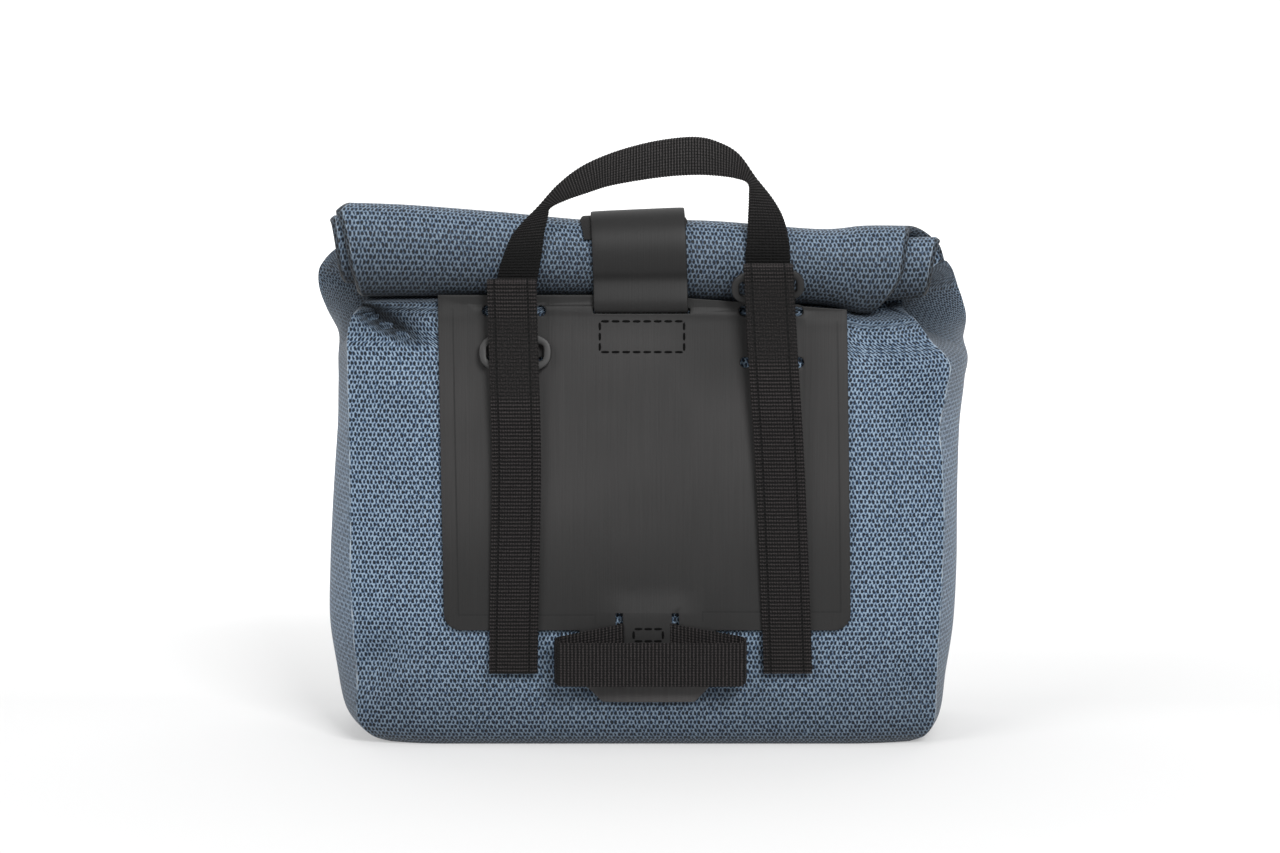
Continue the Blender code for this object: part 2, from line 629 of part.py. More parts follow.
def closure_flap(material, collection):
    """A strip that comes out of the panel's slit, lies over the roll and ends behind it."""
    front = -ROLL_SET_BACK - ROLL_DEPTH / 2 - FLAP_THICKNESS / 2 - FIT_GAP
    path = [
        (wall_y(0, FLAP_SLIT_Z) - PANEL_GAP, FLAP_SLIT_Z),
        (panel_front_y(0, FLAP_SLIT_Z) - FIT_GAP, FLAP_SLIT_Z),
        (front, FLAP_SLIT_Z + 3 * FLAP_THICKNESS),
    ]
    base = CLOTH + MOUTH_SLOT / 2 + FLAP_THICKNESS / 2
    for turn in np.linspace(FLAP_FIRST_TURN, FLAP_LAST_TURN, FLAP_STEPS + 1):
        over = math.sin(math.pi * min(1, (FLAP_FIRST_TURN - turn) / FLAP_LIFT) / 2)
        y, z = roll_point(turn, base + FIT_GAP + FLAP_STANDOFF * over)
        path.append((y, carried_z(z, 0)))
    last_y, last_z = path[-1]
    for share in (0.25, 0.5, 0.75, 1.0):
        y = last_y + (FLAP_REACH - last_y) * share
        path.append((y, min(far_wall_z(y) + FLAP_STANDOFF + FLAP_LEAN, last_z)))
    left, right = [], []
    for k, (y, z) in enumerate(path):
        lean = FLAP_LEAN * min(1, 2 * k / len(path))
        middle = panel_shift(FLAP_SLIT_Z) + FLAP_SHIFT - lean
        left.append((middle - FLAP_WIDTH / 2, y, z - lean / 2))
        right.append((middle + FLAP_WIDTH / 2, y, z + lean / 2))
    return ribbon("closure_flap", left, right, FLAP_THICKNESS, material, collection, across=2)


def far_wall_z(y):
    """Height of the far wall's slope behind the roll at a depth."""
    rows = section_values()
    slope = rows["far_z"] > BODY_HEIGHT * 0.8
    return float(np.interp(-y, -rows["far"][slope], rows["far_z"][slope]) + run_rise(0))


def loop_patch(material, collection):
    """A small patch on the roll's outer wrap, under the closing tab."""
    out = CLOTH + MOUTH_SLOT / 2 + PATCH_THICKNESS / 2 + PATCH_GAP
    left, right = [], []
    for share in np.linspace(0, 1, PATCH_STEPS + 1):
        turn = PATCH_TURNS[0] + (PATCH_TURNS[1] - PATCH_TURNS[0]) * share
        y, z = roll_point(turn, out)
        ease = PATCH_EASE * abs(2 * share - 1)
        for side, line in ((-1, left), (1, right)):
            x = side * (PATCH_WIDTH / 2 - ease) - PATCH_SHIFT
            line.append((x, y, carried_z(z, x)))
    return ribbon("loop_patch", left, right, PATCH_THICKNESS, material, collection)


def handle_front_y():
    """Depth of the front of the handle's legs, where they lie on the roll."""
    return -ROLL_SET_BACK - ROLL_DEPTH / 2 - FIT_GAP - HANDLE_THICKNESS


def handle(material, collection):
    """Webbing whose legs come out of the upper slots and lie on the roll."""
    top = roll_middle_z() + ROLL_HEIGHT / 2
    front = handle_front_y() + HANDLE_THICKNESS / 2
    edges = {"out": [], "in": []}
    for values in HANDLE:
        row = dict(zip(HANDLE_COLUMNS, values))
        for side, line in edges.items():
            x = row[side + "_x"] * HANDLE_SPAN / 2
            y = front + row[side + "_y"] * ROLL_DEPTH
            line.append((x, y, top + row[side + "_z"] * HANDLE_RISE))
    half = (edges["in"][0][0] - edges["out"][0][0]) / 2
    for sign, at_end in ((-1, False), (1, True)):
        middle = sign * SLOT_SPREAD / 2
        lead = []
        tip_z = UPPER_SLOT_Z
        rows = (
            (wall_y(middle, tip_z) - PANEL_GAP, tip_z),
            (panel_front_y(middle, tip_z) - FIT_GAP, tip_z),
            (front, tip_z + 2 * HANDLE_THICKNESS),
            (front, tip_z + 6 * HANDLE_THICKNESS),
        )
        for y, z in rows:
            lead.append(((middle + sign * half, y, z), (middle - sign * half, y, z)))
        outs, ins = [pair[0] for pair in lead], [pair[1] for pair in lead]
        if at_end:
            edges["out"], edges["in"] = edges["out"] + outs[::-1], edges["in"] + ins[::-1]
        else:
            edges["out"], edges["in"] = outs + edges["out"], ins + edges["in"]
    return ribbon("handle", edges["out"], edges["in"], HANDLE_THICKNESS, material, collection, across=2)


def strap_x(side, z, fold_z):
    share = z / fold_z
    name = "left" if side < 0 else "right"
    drift = np.interp(share, column(DRIFT, DRIFT_COLUMNS, "z"), column(DRIFT, DRIFT_COLUMNS, name))
    return side * SLOT_SPREAD / 2 + float(drift) * STRAP_WIDTH


def strap(name, side, fold_z, radius, back, material, collection):
    """A strap out of its lower slot, up its back ply, over a fold and down in front to its
    end. back gives the depth and height of the back ply's points."""
    x_slot = side * SLOT_SPREAD / 2
    path = [(wall_y(x_slot, LOWER_SLOT_Z) - PANEL_GAP, LOWER_SLOT_Z)]
    path += back
    path += arc((back[-1][0] - radius, fold_z - radius - STRAP_THICKNESS / 2), radius, 0, 180, 6)
    top_y, top_z = path[-1]
    last_y = panel_front_y(PANEL_WIDTH / 2, PANEL_BOTTOM) - STRAP_THICKNESS
    for share in np.linspace(1 / STRAP_STEPS, 1, STRAP_STEPS):
        slack = (1 - share) ** STRAP_SLACK
        path.append((last_y + (top_y - last_y) * slack, top_z + (STRAP_END_Z - top_z) * share))
    left, right = [], []
    for y, z in path:
        x = strap_x(side, z, fold_z)
        left.append((x - STRAP_WIDTH / 2, y, z))
        right.append((x + STRAP_WIDTH / 2, y, z))
    return ribbon(name, left, right, STRAP_THICKNESS, material, collection, across=2)


def ring_mesh(name):
    """A flat oval ring with a level slot."""
    angles = np.linspace(0, 2 * math.pi, 28, endpoint=False)
    power = 2 / RING_SQUARENESS
    outline = [
        (
            RING_WIDTH / 2 * math.copysign(abs(math.cos(a)) ** power, math.cos(a)),
            RING_HEIGHT / 2 * math.copysign(abs(math.sin(a)) ** power, math.sin(a)),
        )
        for a in angles
    ]
    w, h, r = RING_HOLE_WIDTH / 2, RING_HOLE_HEIGHT / 2, RING_HOLE_CORNER
    hole = []
    for cx, cz, start in ((w - r, h - r, 0), (r - w, h - r, 90), (r - w, r - h, 180), (w - r, r - h, 270)):
        hole += arc((cx, cz), r, start, start + 90, 3)
    return flat_mesh(name, [outline, hole], RING_THICKNESS)


def ring(name, place, tilt, roll, material, collection):
    mesh = ring_mesh(name)
    mesh.shade_smooth()
    mesh.set_sharp_from_angle(angle=math.radians(40))
    thing = add_object(name, mesh, material, collection)
    thing.location = place
    thing.rotation_euler = (math.radians(tilt), -math.radians(roll), 0)
    bevel = thing.modifiers.new("edges", "BEVEL")
    bevel.width = RING_EDGE
    bevel.segments = 1
    bevel.limit_method = "ANGLE"
    return thing


def left_strap_and_ring(webbing, plastic, collection):
    """The left ring leans on the panel: the back ply comes out of its slot behind the ring's
    lower bar, and goes up in front of its upper bar."""
    x = -SLOT_SPREAD / 2
    over_handle = handle_front_y() - FIT_GAP - STRAP_THICKNESS / 2
    on_panel = panel_front_y(x, LOWER_SLOT_Z)
    low = on_panel - FIT_GAP - STRAP_THICKNESS / 2
    tilt = (STRAP_THICKNESS + FIT_GAP) / ((RING_HEIGHT + RING_HOLE_HEIGHT) / 2)
    ring_middle = on_panel - FIT_GAP - RING_THICKNESS / 2 - RING_HEIGHT / 2 * tilt
    ring_z = LOWER_SLOT_Z + RING_RAISE
    place = (strap_x(-1, ring_z, LEFT_FOLD_Z) + FIT_GAP, ring_middle, ring_z)
    ring("ring_left", place, -math.degrees(math.asin(tilt)), 0, plastic, collection)
    on_bar = ring_middle + RING_HOLE_HEIGHT / 2 * tilt - RING_THICKNESS / 2
    over_ring = on_bar - FIT_GAP - STRAP_THICKNESS / 2
    back = [
        (low + STRAP_THICKNESS / 2, LOWER_SLOT_Z),
        (low, LOWER_SLOT_Z + STRAP_THICKNESS),
        (low, ring_z - RING_HOLE_HEIGHT / 4),
        (over_ring, ring_z + RING_HOLE_HEIGHT / 2),
        (over_ring, ring_z + RING_HEIGHT / 2),
        (over_handle, UPPER_SLOT_Z + 5 * HANDLE_THICKNESS),
        (over_handle, LEFT_FOLD_Z - LEFT_FOLD_RADIUS - STRAP_THICKNESS),
    ]
    strap("strap_left", -1, LEFT_FOLD_Z, LEFT_FOLD_RADIUS, back, webbing, collection)


def right_strap_and_ring(webbing, plastic, collection):
    """The right ring hangs in the strap's fold: the back ply passes through it, in front of
    its lower bar and behind its upper bar."""
    x = SLOT_SPREAD / 2
    lean = math.radians(RING_LEAN)
    bar = (RING_HEIGHT - RING_HOLE_HEIGHT) / 2
    bar_reach = (RING_HOLE_HEIGHT + bar) / 2 * math.sin(lean)
    bar_half = (RING_THICKNESS * math.cos(lean) + bar * math.sin(lean)) / 2
    middle = handle_front_y() - FIT_GAP - bar_reach - bar_half
    radius = (bar_reach + bar_half + FIT_GAP + STRAP_THICKNESS / 2) / 2
    bar_top = (RING_HEIGHT * math.cos(lean) + RING_THICKNESS * math.sin(lean)) / 2
    ring_z = RIGHT_FOLD_Z - STRAP_THICKNESS - FIT_GAP - bar_top
    place = (strap_x(1, ring_z, RIGHT_FOLD_Z) - FIT_GAP, middle, ring_z)
    ring("ring_right", place, RING_LEAN, RING_ROLL, plastic, collection)
    on_panel = panel_front_y(x, LOWER_SLOT_Z)
    low = on_panel - FIT_GAP - STRAP_THICKNESS / 2
    back = [
        (low + STRAP_THICKNESS / 2, LOWER_SLOT_Z),
        (low, LOWER_SLOT_Z + STRAP_THICKNESS),
        (low, LOWER_SLOT_Z + 4 * STRAP_THICKNESS),
        (middle, ring_z - RING_HEIGHT / 2),
        (middle, RIGHT_FOLD_Z - radius - STRAP_THICKNESS),
    ]
    strap("strap_right", 1, RIGHT_FOLD_Z, radius, back, webbing, collection)


def bottom_strap(material, collection):
    """A band in a flattened loop: behind the tab's bridge, out of both tab slots, and round
    the front, falling as it goes."""
    middle_z = (TAB_SLOT_BOTTOM + TAB_SLOT_TOP + LOOP_DROOP / 2) / 2
    slot = TAB_SLOT_SPREAD / 2
    skew = (TAB_SLOT_WIDTH - LOOP_THICKNESS) / 8
    back = wall_y(0, middle_z) - FIT_GAP - LOOP_THICKNESS / 2
    near = panel_front_y(slot, middle_z) - FIT_GAP - LOOP_THICKNESS / 2
    outside = near - LOOP_DEPTH
    turn = LOOP_DEPTH / 2
    shift = panel_shift(middle_z)
    halves = []
    for end in (LOOP_RIGHT - shift, LOOP_LEFT + shift):
        half = end - turn
        rows = [(slot - skew, back, 0), (slot + skew, near, 0), (half, near, LOOP_END_DROOP)]
        for a in np.linspace(0.5, math.pi, 6):
            fall = LOOP_END_DROOP + (1 - LOOP_END_DROOP) * a / math.pi
            rows.append((half + turn * math.sin(a), near - turn + turn * math.cos(a), fall))
        halves.append(rows)
    path = halves[0] + [(0, outside, 1)] + [(-x, y, fall) for x, y, fall in halves[1][::-1]]
    low, high = [], []
    for x, y, fall in path:
        z = middle_z - LOOP_DROOP * fall
        low.append((x + shift, y, z - LOOP_BAND / 2))
        high.append((x + shift, y, z + LOOP_BAND / 2))
    return ribbon("bottom_strap", low, high, LOOP_THICKNESS, material, collection, closed=True)


def main():
    clear_scene()
    parts = make_collection(PARTS_NAME)
    cloth = make_material("blue_cloth", (0.10, 0.18, 0.28), 0.75)
    sheet = make_material("black_sheet", (0.05, 0.048, 0.05), 0.5)
    webbing = make_material("black_webbing", (0.024, 0.022, 0.022), 0.85)
    fuzz = make_material("black_loop", (0.012, 0.012, 0.013), 0.95)
    plastic = make_material("black_plastic", (0.04, 0.038, 0.038), 0.5)
    bag_shell(cloth, parts)
    back_panel(sheet, parts)
    closure_flap(sheet, parts)
    loop_patch(fuzz, parts)
    handle(webbing, parts)
    left_strap_and_ring(webbing, plastic, parts)
    right_strap_and_ring(webbing, plastic, parts)
    bottom_strap(webbing, parts)


main()
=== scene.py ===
"""Bicycle pouch: the looks of a roll-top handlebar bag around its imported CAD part.

+X is to the right as seen from the side that faces the handlebar, -Y points to that side,
+Z is up, and the origin is the middle of the flat base. Lengths are in metres.
"""

import math

import bmesh
import bpy
import numpy as np
from bpy.props import FloatProperty, FloatVectorProperty, PointerProperty
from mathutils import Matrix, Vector


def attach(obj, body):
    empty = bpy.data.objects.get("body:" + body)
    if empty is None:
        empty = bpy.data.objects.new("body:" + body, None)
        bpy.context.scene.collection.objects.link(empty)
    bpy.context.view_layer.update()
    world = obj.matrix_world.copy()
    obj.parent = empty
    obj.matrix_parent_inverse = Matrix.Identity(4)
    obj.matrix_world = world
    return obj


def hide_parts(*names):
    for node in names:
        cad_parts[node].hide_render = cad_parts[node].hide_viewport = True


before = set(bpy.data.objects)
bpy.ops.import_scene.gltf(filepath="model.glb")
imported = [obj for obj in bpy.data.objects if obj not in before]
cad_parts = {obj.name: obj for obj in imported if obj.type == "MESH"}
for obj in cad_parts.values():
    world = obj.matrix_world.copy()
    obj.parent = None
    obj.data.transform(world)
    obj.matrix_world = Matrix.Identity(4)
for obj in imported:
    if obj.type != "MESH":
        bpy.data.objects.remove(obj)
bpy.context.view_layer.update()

bl_info = {
    "name": "Bicycle Pouch",
    "version": (1, 0, 0),
    "blender": (4, 5, 0),
    "location": "3D View > Sidebar > Pouch",
    "description": "Builds a roll-top bicycle pouch with its panel, webbing and rings",
    "category": "Object",
}

MM = 0.001

# Bag
BAG_WIDTH = 244 * MM  # between the two seams of the near wall
BAG_DEPTH = 104 * MM
BODY_HEIGHT = 185 * MM  # from the base to the underside of the roll
CLOTH = 1.2 * MM
SIDE_PUFF = 12 * MM  # how far a gusset stands out beyond its seams
TUCK = 36 * MM  # how far a gusset folds in at the mouth
NEAR_CROWN = 5 * MM  # how far the near wall falls back at its seams
FAR_CROWN = 11 * MM  # how far the far wall falls back at its seams

# Roll at the mouth
ROLL_DEPTH = 25 * MM
ROLL_HEIGHT = 34 * MM
ROLL_SET_BACK = 33.5 * MM  # middle of the roll, from the bag's middle towards the near side
ROLL_TURNS = 1.72
ROLL_SQUARENESS = 2.3  # power of a wrap's superellipse, 2 is an ellipse
ROLL_PITCH = 4.6 * MM  # from one wrap to the next
MOUTH_SLOT = 1.2 * MM  # between the two cloths of the mouth
ROLL_CLEARANCE = 1.2 * MM  # between the roll and the near wall under it

# Mounting panel
PANEL_WIDTH = 167 * MM
PANEL_BOTTOM = 49.5 * MM
PANEL_TOP = BODY_HEIGHT + 2 * MM
PANEL_SLANT = 6 * MM  # fall of the top edge from its middle to its right end
PANEL_LEAN = 0.0155  # sideways shift for its height, its top to the left
PANEL_THICKNESS = 1.4 * MM
PANEL_GAP = 0.8 * MM  # between the panel and the near wall
PANEL_CORNER = 7 * MM
TAB_WIDTH = 56 * MM
TAB_BOTTOM = 20 * MM
TAB_CHAMFER = 9 * MM
FIT_GAP = 0.5 * MM  # between cloth pieces that lie on each other

# Slots in the panel
SLOT_LENGTH = 26 * MM
SLOT_HEIGHT = 2.8 * MM
SLOT_EYE = 4.4 * MM  # diameter of the round ends
UPPER_SLOT_Z = BODY_HEIGHT - 4.5 * MM
LOWER_SLOT_Z = UPPER_SLOT_Z - 21 * MM
TAB_SLOT_SPREAD = 23 * MM
TAB_SLOT_WIDTH = 2.8 * MM
TAB_SLOT_BOTTOM = 27 * MM
TAB_SLOT_TOP = 56.8 * MM

# Closing tab and its loop patch
FLAP_WIDTH = 38.4 * MM
FLAP_THICKNESS = 1.2 * MM
FLAP_SLIT_Z = BODY_HEIGHT - 4.5 * MM
FLAP_SHIFT = -0.4 * MM  # of its middle from the panel's
FLAP_STANDOFF = 3.3 * MM  # above the roll, where the patch lies
FLAP_LEAN = 1.7 * MM  # to the left, and down at its left edge
FLAP_FIRST_TURN = 0.56  # of the roll, where the tab meets it
FLAP_LAST_TURN = 0.08  # where it leaves the roll
FLAP_LIFT = 0.3  # turns over which it rises to its standoff
FLAP_REACH = 13 * MM  # depth at which its end lies on the far wall
PATCH_WIDTH = 44 * MM
PATCH_THICKNESS = 1.2 * MM
PATCH_GAP = 0.6 * MM  # between the roll and the patch
PATCH_SHIFT = 4.6 * MM  # to the left of the tab's middle
PATCH_TURNS = (0.42, 0.20)  # of the roll, at its lower and upper edge
PATCH_EASE = 1.8 * MM  # by which its lower and upper edge are shorter at each end

# Webbing
HANDLE_THICKNESS = 1.4 * MM
HANDLE_RISE = 32 * MM  # from the roll's top to the highest edge of the handle
HANDLE_SPAN = 119 * MM  # over both legs
SLOT_SPREAD = HANDLE_SPAN - 14 * MM  # between the left and the right pair of strap slots
STRAP_WIDTH = 20 * MM
STRAP_THICKNESS = 1.5 * MM
STRAP_END_Z = 32 * MM
LEFT_FOLD_RADIUS = 1.6 * MM  # of the strap's middle
LEFT_FOLD_Z = BODY_HEIGHT + 9 * MM
RIGHT_FOLD_Z = BODY_HEIGHT + 15.5 * MM
LOOP_LEFT = 36.5 * MM  # ends of the lower strap's flattened loop, from the bag's middle
LOOP_RIGHT = 41 * MM
LOOP_DEPTH = 9 * MM
LOOP_BAND = 18 * MM  # width of its band
LOOP_DROOP = 6 * MM  # fall of the band from its slots to its front
LOOP_END_DROOP = 0.7  # share of that fall at its ends
LOOP_THICKNESS = 1.2 * MM
STRAP_SLACK = 4  # power by which a front ply falls back to the panel below its fold

# Rings
RING_WIDTH = 29.5 * MM
RING_HEIGHT = 16.5 * MM
RING_THICKNESS = 1.8 * MM
RING_SQUARENESS = 2.6  # power of its outline's superellipse
RING_HOLE_WIDTH = 23 * MM
RING_HOLE_HEIGHT = 7.6 * MM
RING_RAISE = 4.3 * MM  # of the left ring's middle above its slot
RING_LEAN = 29  # degrees, of the right ring towards the viewer
RING_ROLL = 4  # degrees, its right end up

ROLL_MIDDLE = BODY_HEIGHT + ROLL_CLEARANCE + ROLL_HEIGHT / 2 - ROLL_PITCH / 4

# Sections of the bag, from the base to the mouth. z and far_z are shares of BODY_HEIGHT,
# near and far are places in depth as shares of BAG_DEPTH, the four seam columns are shares of
# half of BAG_WIDTH, the two puffs are shares of SIDE_PUFF, tuck is a share of TUCK, and follow
# says how much of the roll's rise and fall along the bag the section takes.
SECTION_COLUMNS = (
    "z", "near", "far_z", "far",
    "left_near", "right_near", "left_far", "right_far",
    "left_puff", "right_puff", "tuck", "follow",
)
SECTIONS = (
    (0.000, -0.385, 0.000, 0.385, 0.87, 0.905, 0.87, 0.905, 0.45, 0.40, 0.00, 0.0),
    (0.020, -0.440, 0.020, 0.445, 0.93, 0.955, 0.93, 0.955, 0.60, 0.50, 0.00, 0.0),
    (0.060, -0.470, 0.060, 0.475, 0.975, 0.985, 0.965, 0.985, 0.75, 0.50, 0.00, 0.0),
    (0.140, -0.478, 0.140, 0.492, 0.975, 0.99, 0.975, 0.99, 1.00, 0.62, 0.00, 0.0),
    (0.250, -0.476, 0.250, 0.505, 0.985, 0.995, 0.985, 0.99, 1.15, 0.85, 0.00, 0.0),
    (0.380, -0.470, 0.380, 0.515, 0.995, 1.005, 0.99, 1.00, 1.05, 0.85, 0.00, 0.0),
    (0.500, -0.464, 0.500, 0.518, 0.993, 1.010, 0.995, 1.005, 0.95, 0.80, 0.00, 0.0),
    (0.610, -0.456, 0.610, 0.508, 0.995, 1.005, 1.00, 1.02, 0.80, 0.78, 0.00, 0.0),
    (0.710, -0.446, 0.715, 0.482, 0.997, 0.995, 1.01, 1.05, 0.62, 0.75, 0.00, 0.0),
    (0.800, -0.436, 0.810, 0.432, 1.000, 1.015, 1.045, 1.095, 0.45, 0.60, 0.02, 0.1),
    (0.865, -0.428, 0.885, 0.355, 1.000, 1.025, 1.075, 1.125, 0.32, 0.48, 0.06, 0.3),
    (0.920, -0.420, 0.950, 0.262, 1.000, 0.965, 1.120, 1.135, 0.20, 0.20, 0.35, 0.6),
    (0.960, -0.414, 1.000, 0.165, 0.985, 0.930, 1.140, 1.115, 0.20, 0.10, 0.65, 0.8),
    (0.990, -0.404, 1.040, 0.070, 0.955, 0.905, 1.135, 1.091, 0.10, 0.10, 0.80, 1.0),
    (1.001, -0.330, 1.065, -0.015, 0.940, 0.885, 1.110, 1.073, 0.10, 0.10, 0.70, 1.0),
    (1.014, -0.256, 1.086, -0.095, 0.950, 0.875, 1.078, 1.055, 0.10, 0.10, 0.42, 1.0),
    (1.044, -0.224, 1.104, -0.170, 0.970, 0.880, 1.040, 1.031, 0.10, 0.10, 0.16, 1.0),
)

# Along the bag, from its left to its right end: the roll's rise and its height, as shares of
# ROLL_HEIGHT, at shares of half of BAG_WIDTH.
RUN_COLUMNS = ("x", "rise", "height")
RUN = (
    (-1.00, 0.05, 1.13),
    (-0.80, 0.04, 1.10),
    (-0.50, 0.00, 1.02),
    (-0.15, -0.05, 0.91),
    (0.20, -0.08, 0.97),
    (0.58, -0.15, 0.91),
    (0.74, -0.19, 1.06),
    (0.90, -0.17, 1.02),
    (1.00, -0.14, 0.95),
)

# Ends of the wraps, round the roll from where the mouth comes up behind it: turn in whole
# turns, left and right as shares of half of BAG_WIDTH.
WRAP_COLUMNS = ("turn", "left", "right")
WRAPS = (
    (0.00, 1.027, 1.010),
    (0.08, 1.030, 0.990),
    (0.17, 1.030, 0.935),
    (0.25, 0.985, 0.875),
    (0.33, 1.015, 0.870),
    (0.42, 0.995, 0.860),
    (0.50, 0.980, 0.850),
    (0.62, 0.955, 0.790),
    (0.75, 0.950, 0.740),
    (1.00, 0.985, 0.830),
    (1.25, 1.045, 0.980),
    (1.50, 1.020, 0.950),
    (1.75, 1.000, 0.930),
)

# Folds and dents of the near wall: place and size in millimetres across and up, turn in degrees,
# and height outwards in millimetres.
DENT_COLUMNS = ("x", "z", "length", "breadth", "turn", "height")
DENTS = (
    (-101, 150, 18, 7.0, -25, 1.6),
    (-110, 37, 12, 8.0, 50, -5.0),
    (-104, 25, 10, 6.0, 35, 1.8),
    (105, 167, 17, 7.0, -50, 3.0),
    (112, 133, 10, 9.0, -60, -4.5),
    (110, 26, 12, 8.0, -40, -2.4),
    (98, 96, 9, 26.0, 0, 0.8),
    (-98, 96, 9, 26.0, 0, 0.8),
)

# The sharp fold at the left shoulder: its line across and up in millimetres, and how far the
# cloth above it lies behind the cloth below it.
FOLD = (
    (-140, 207, 3),
    (-133, 199, 6),
    (-126, 189, 9),
    (-122, 183.5, 11),
    (-118.5, 179, 12),
    (-113.5, 174, 13),
    (-104, 168.5, 11.5),
    (-97, 165, 7),
    (-90.5, 163.5, 3),
    (-83, 163.5, 0),
)

# Distances from the fold's line, in millimetres.
FOLD_STEP = 3.5
FOLD_POCKET = 4.5
FOLD_FADE = 14

# The handle's two edges from the left leg over the top to the right leg: x as a share of half
# of HANDLE_SPAN, z as a share of HANDLE_RISE above the roll's top, and y, the distance back
# from the front of the roll, as a share of ROLL_DEPTH.
HANDLE_COLUMNS = ("out_x", "out_z", "in_x", "in_z", "out_y", "in_y")
HANDLE = (
    (-1.000, -0.700, -0.725, -0.700, 0.00, 0.00),
    (-0.965, -0.480, -0.703, -0.460, 0.00, 0.00),
    (-0.910, -0.245, -0.685, -0.210, 0.02, 0.00),
    (-0.830, -0.065, -0.660, 0.010, 0.08, 0.02),
    (-0.730, 0.120, -0.645, 0.110, 0.15, 0.05),
    (-0.600, 0.390, -0.540, 0.205, 0.26, 0.08),
    (-0.440, 0.620, -0.390, 0.300, 0.34, 0.10),
    (-0.240, 0.790, -0.240, 0.386, 0.40, 0.14),
    (-0.020, 0.912, -0.020, 0.460, 0.42, 0.16),
    (0.180, 0.980, 0.180, 0.507, 0.42, 0.16),
    (0.360, 1.000, 0.360, 0.523, 0.38, 0.14),
    (0.500, 0.940, 0.500, 0.511, 0.34, 0.12),
    (0.640, 0.790, 0.620, 0.480, 0.28, 0.09),
    (0.760, 0.480, 0.703, 0.420, 0.22, 0.06),
    (0.870, 0.230, 0.709, 0.250, 0.14, 0.03),
    (0.945, -0.015, 0.703, 0.000, 0.07, 0.01),
    (0.985, -0.310, 0.696, -0.300, 0.02, 0.00),
    (0.995, -0.580, 0.687, -0.580, 0.00, 0.00),
)

# Sideways drift of the hanging straps: z as a share of the strap's fold height, and the middle's
# distance from its slot as a share of STRAP_WIDTH.
DRIFT_COLUMNS = ("z", "left", "right")
DRIFT = (
    (0.00, -0.10, 0.36),
    (0.25, -0.06, 0.28),
    (0.60, 0.01, 0.12),
    (0.80, -0.03, -0.02),
    (1.00, -0.08, -0.14),
)

# How strong a strap's ribs are, as a share at lengths in millimetres: weak on its fastener.
LEFT_RIBS = ((0, 1), (60, 1), (66, 0.35), (94, 0.35), (99, 1), (230, 1))
RIGHT_RIBS = ((0, 1), (70, 1), (76, 0.35), (106, 0.35), (111, 1), (240, 1))

# The panel's pressed line runs round inside its sides and bottom, with a gap at the tab: each
# stretch from and to a place across and up, in millimetres.
PRESSED_LINES = (
    (-77.4, 55.9, -77.4, 181), (79.4, 57.2, 79.4, 176),
    (-77.4, 55.9, -21.3, 55.9), (22.7, 57.2, 79.4, 57.2),
    (-21.3, 52.5, -21.3, 55.9), (22.7, 53.5, 22.7, 57.2),
)

# Corners of the two lines of stitches on the panel, across and up in millimetres.
STITCHED_BOXES = (
    ((-18.4, 176.3), (16.0, 176.3), (16.0, 163.8), (-18.4, 163.8), (-18.4, 176.3)),
    ((-4.6, 50.5), (-4.6, 45.5), (7.4, 45.5), (7.4, 50.5), (-4.6, 50.5)),
)

# The roll's shade round its turn, from its far side over its top: the least is underneath.
ROLL_SHADE_TURNS = (0, 0.25, 0.4, 0.5, 0.58, 0.68, 0.8, 1)
ROLL_SHADE = (0.85, 0.8, 0.72, 0.5, 0.26, 0.16, 0.16, 0.8)

# Studio lamps: name, place, size in metres and power in watts.
LAMPS = (
    ("overhead_softbox", (0.0, 0.1, 1.4), 1.1, 8.0),
    ("right_softbox", (0.7, -1.9, 1.3), 0.8, 62.0),
    ("left_softbox", (-1.4, -1.5, 1.1), 1.0, 26.0),
)
LAMP_TARGET = (0, 0, 0.12)
CAMERA_TARGET = (-0.002, -0.050, 0.1336)
CAMERA_DISTANCE = 1.233
CAMERA_ELEVATION = 6  # degrees
CAMERA_LENS = 85  # millimetres, on a sensor 36 mm wide

FACE_POINTS = 151  # across the near or far wall
MARGIN_POINTS = 44  # of them beyond each side of the panel
GUSSET_POINTS = 27  # across a gusset, without its seams
SECTION_STEPS = 8  # rings to each row of SECTIONS
WRAP_STEPS = 48  # rings to a turn of the roll
INNER_STEPS = 4  # outer rings to each ring of the cloth's inner side
BAND_POINTS = 40  # round the profile of a strap, the handle or the closing tab
BAND_POWER = 0.35  # of the profile's cosine and sine: 1 is an ellipse, 0 a rectangle
STITCH_PITCH = 4.25 * MM
STITCH_RAISE = 0.2 * MM  # of a stitch's middle above the panel
EDGE_ROUNDING = 0.3 * MM  # radius of the panel's edges
STITCH_LENGTH = 3.2 * MM
STITCH_WIDTH = 0.95 * MM
RIB_PITCH = 1.5 * MM
RIB_STEPS = 6  # rings to a rib
STRAP_RIB = 0.24 * MM  # height of the ribs, here and in the next two
HANDLE_RIB = 0.16 * MM
LOOP_RIB = 0.15 * MM
PRESSED_LINE = 0.7 * MM  # width of the panel's pressed groove
WEAVE_WIDTH = 4.9  # millimetres across in which the cloth's pattern repeats
WEAVE_HEIGHT = 3.9  # millimetres up, for its two rows
WEAVE_CELLS = 3  # dark cells in each row of a repeat


def column(table, names, name):
    """One named column of a table as numbers."""
    return np.array([row[names.index(name)] for row in table], dtype=float)


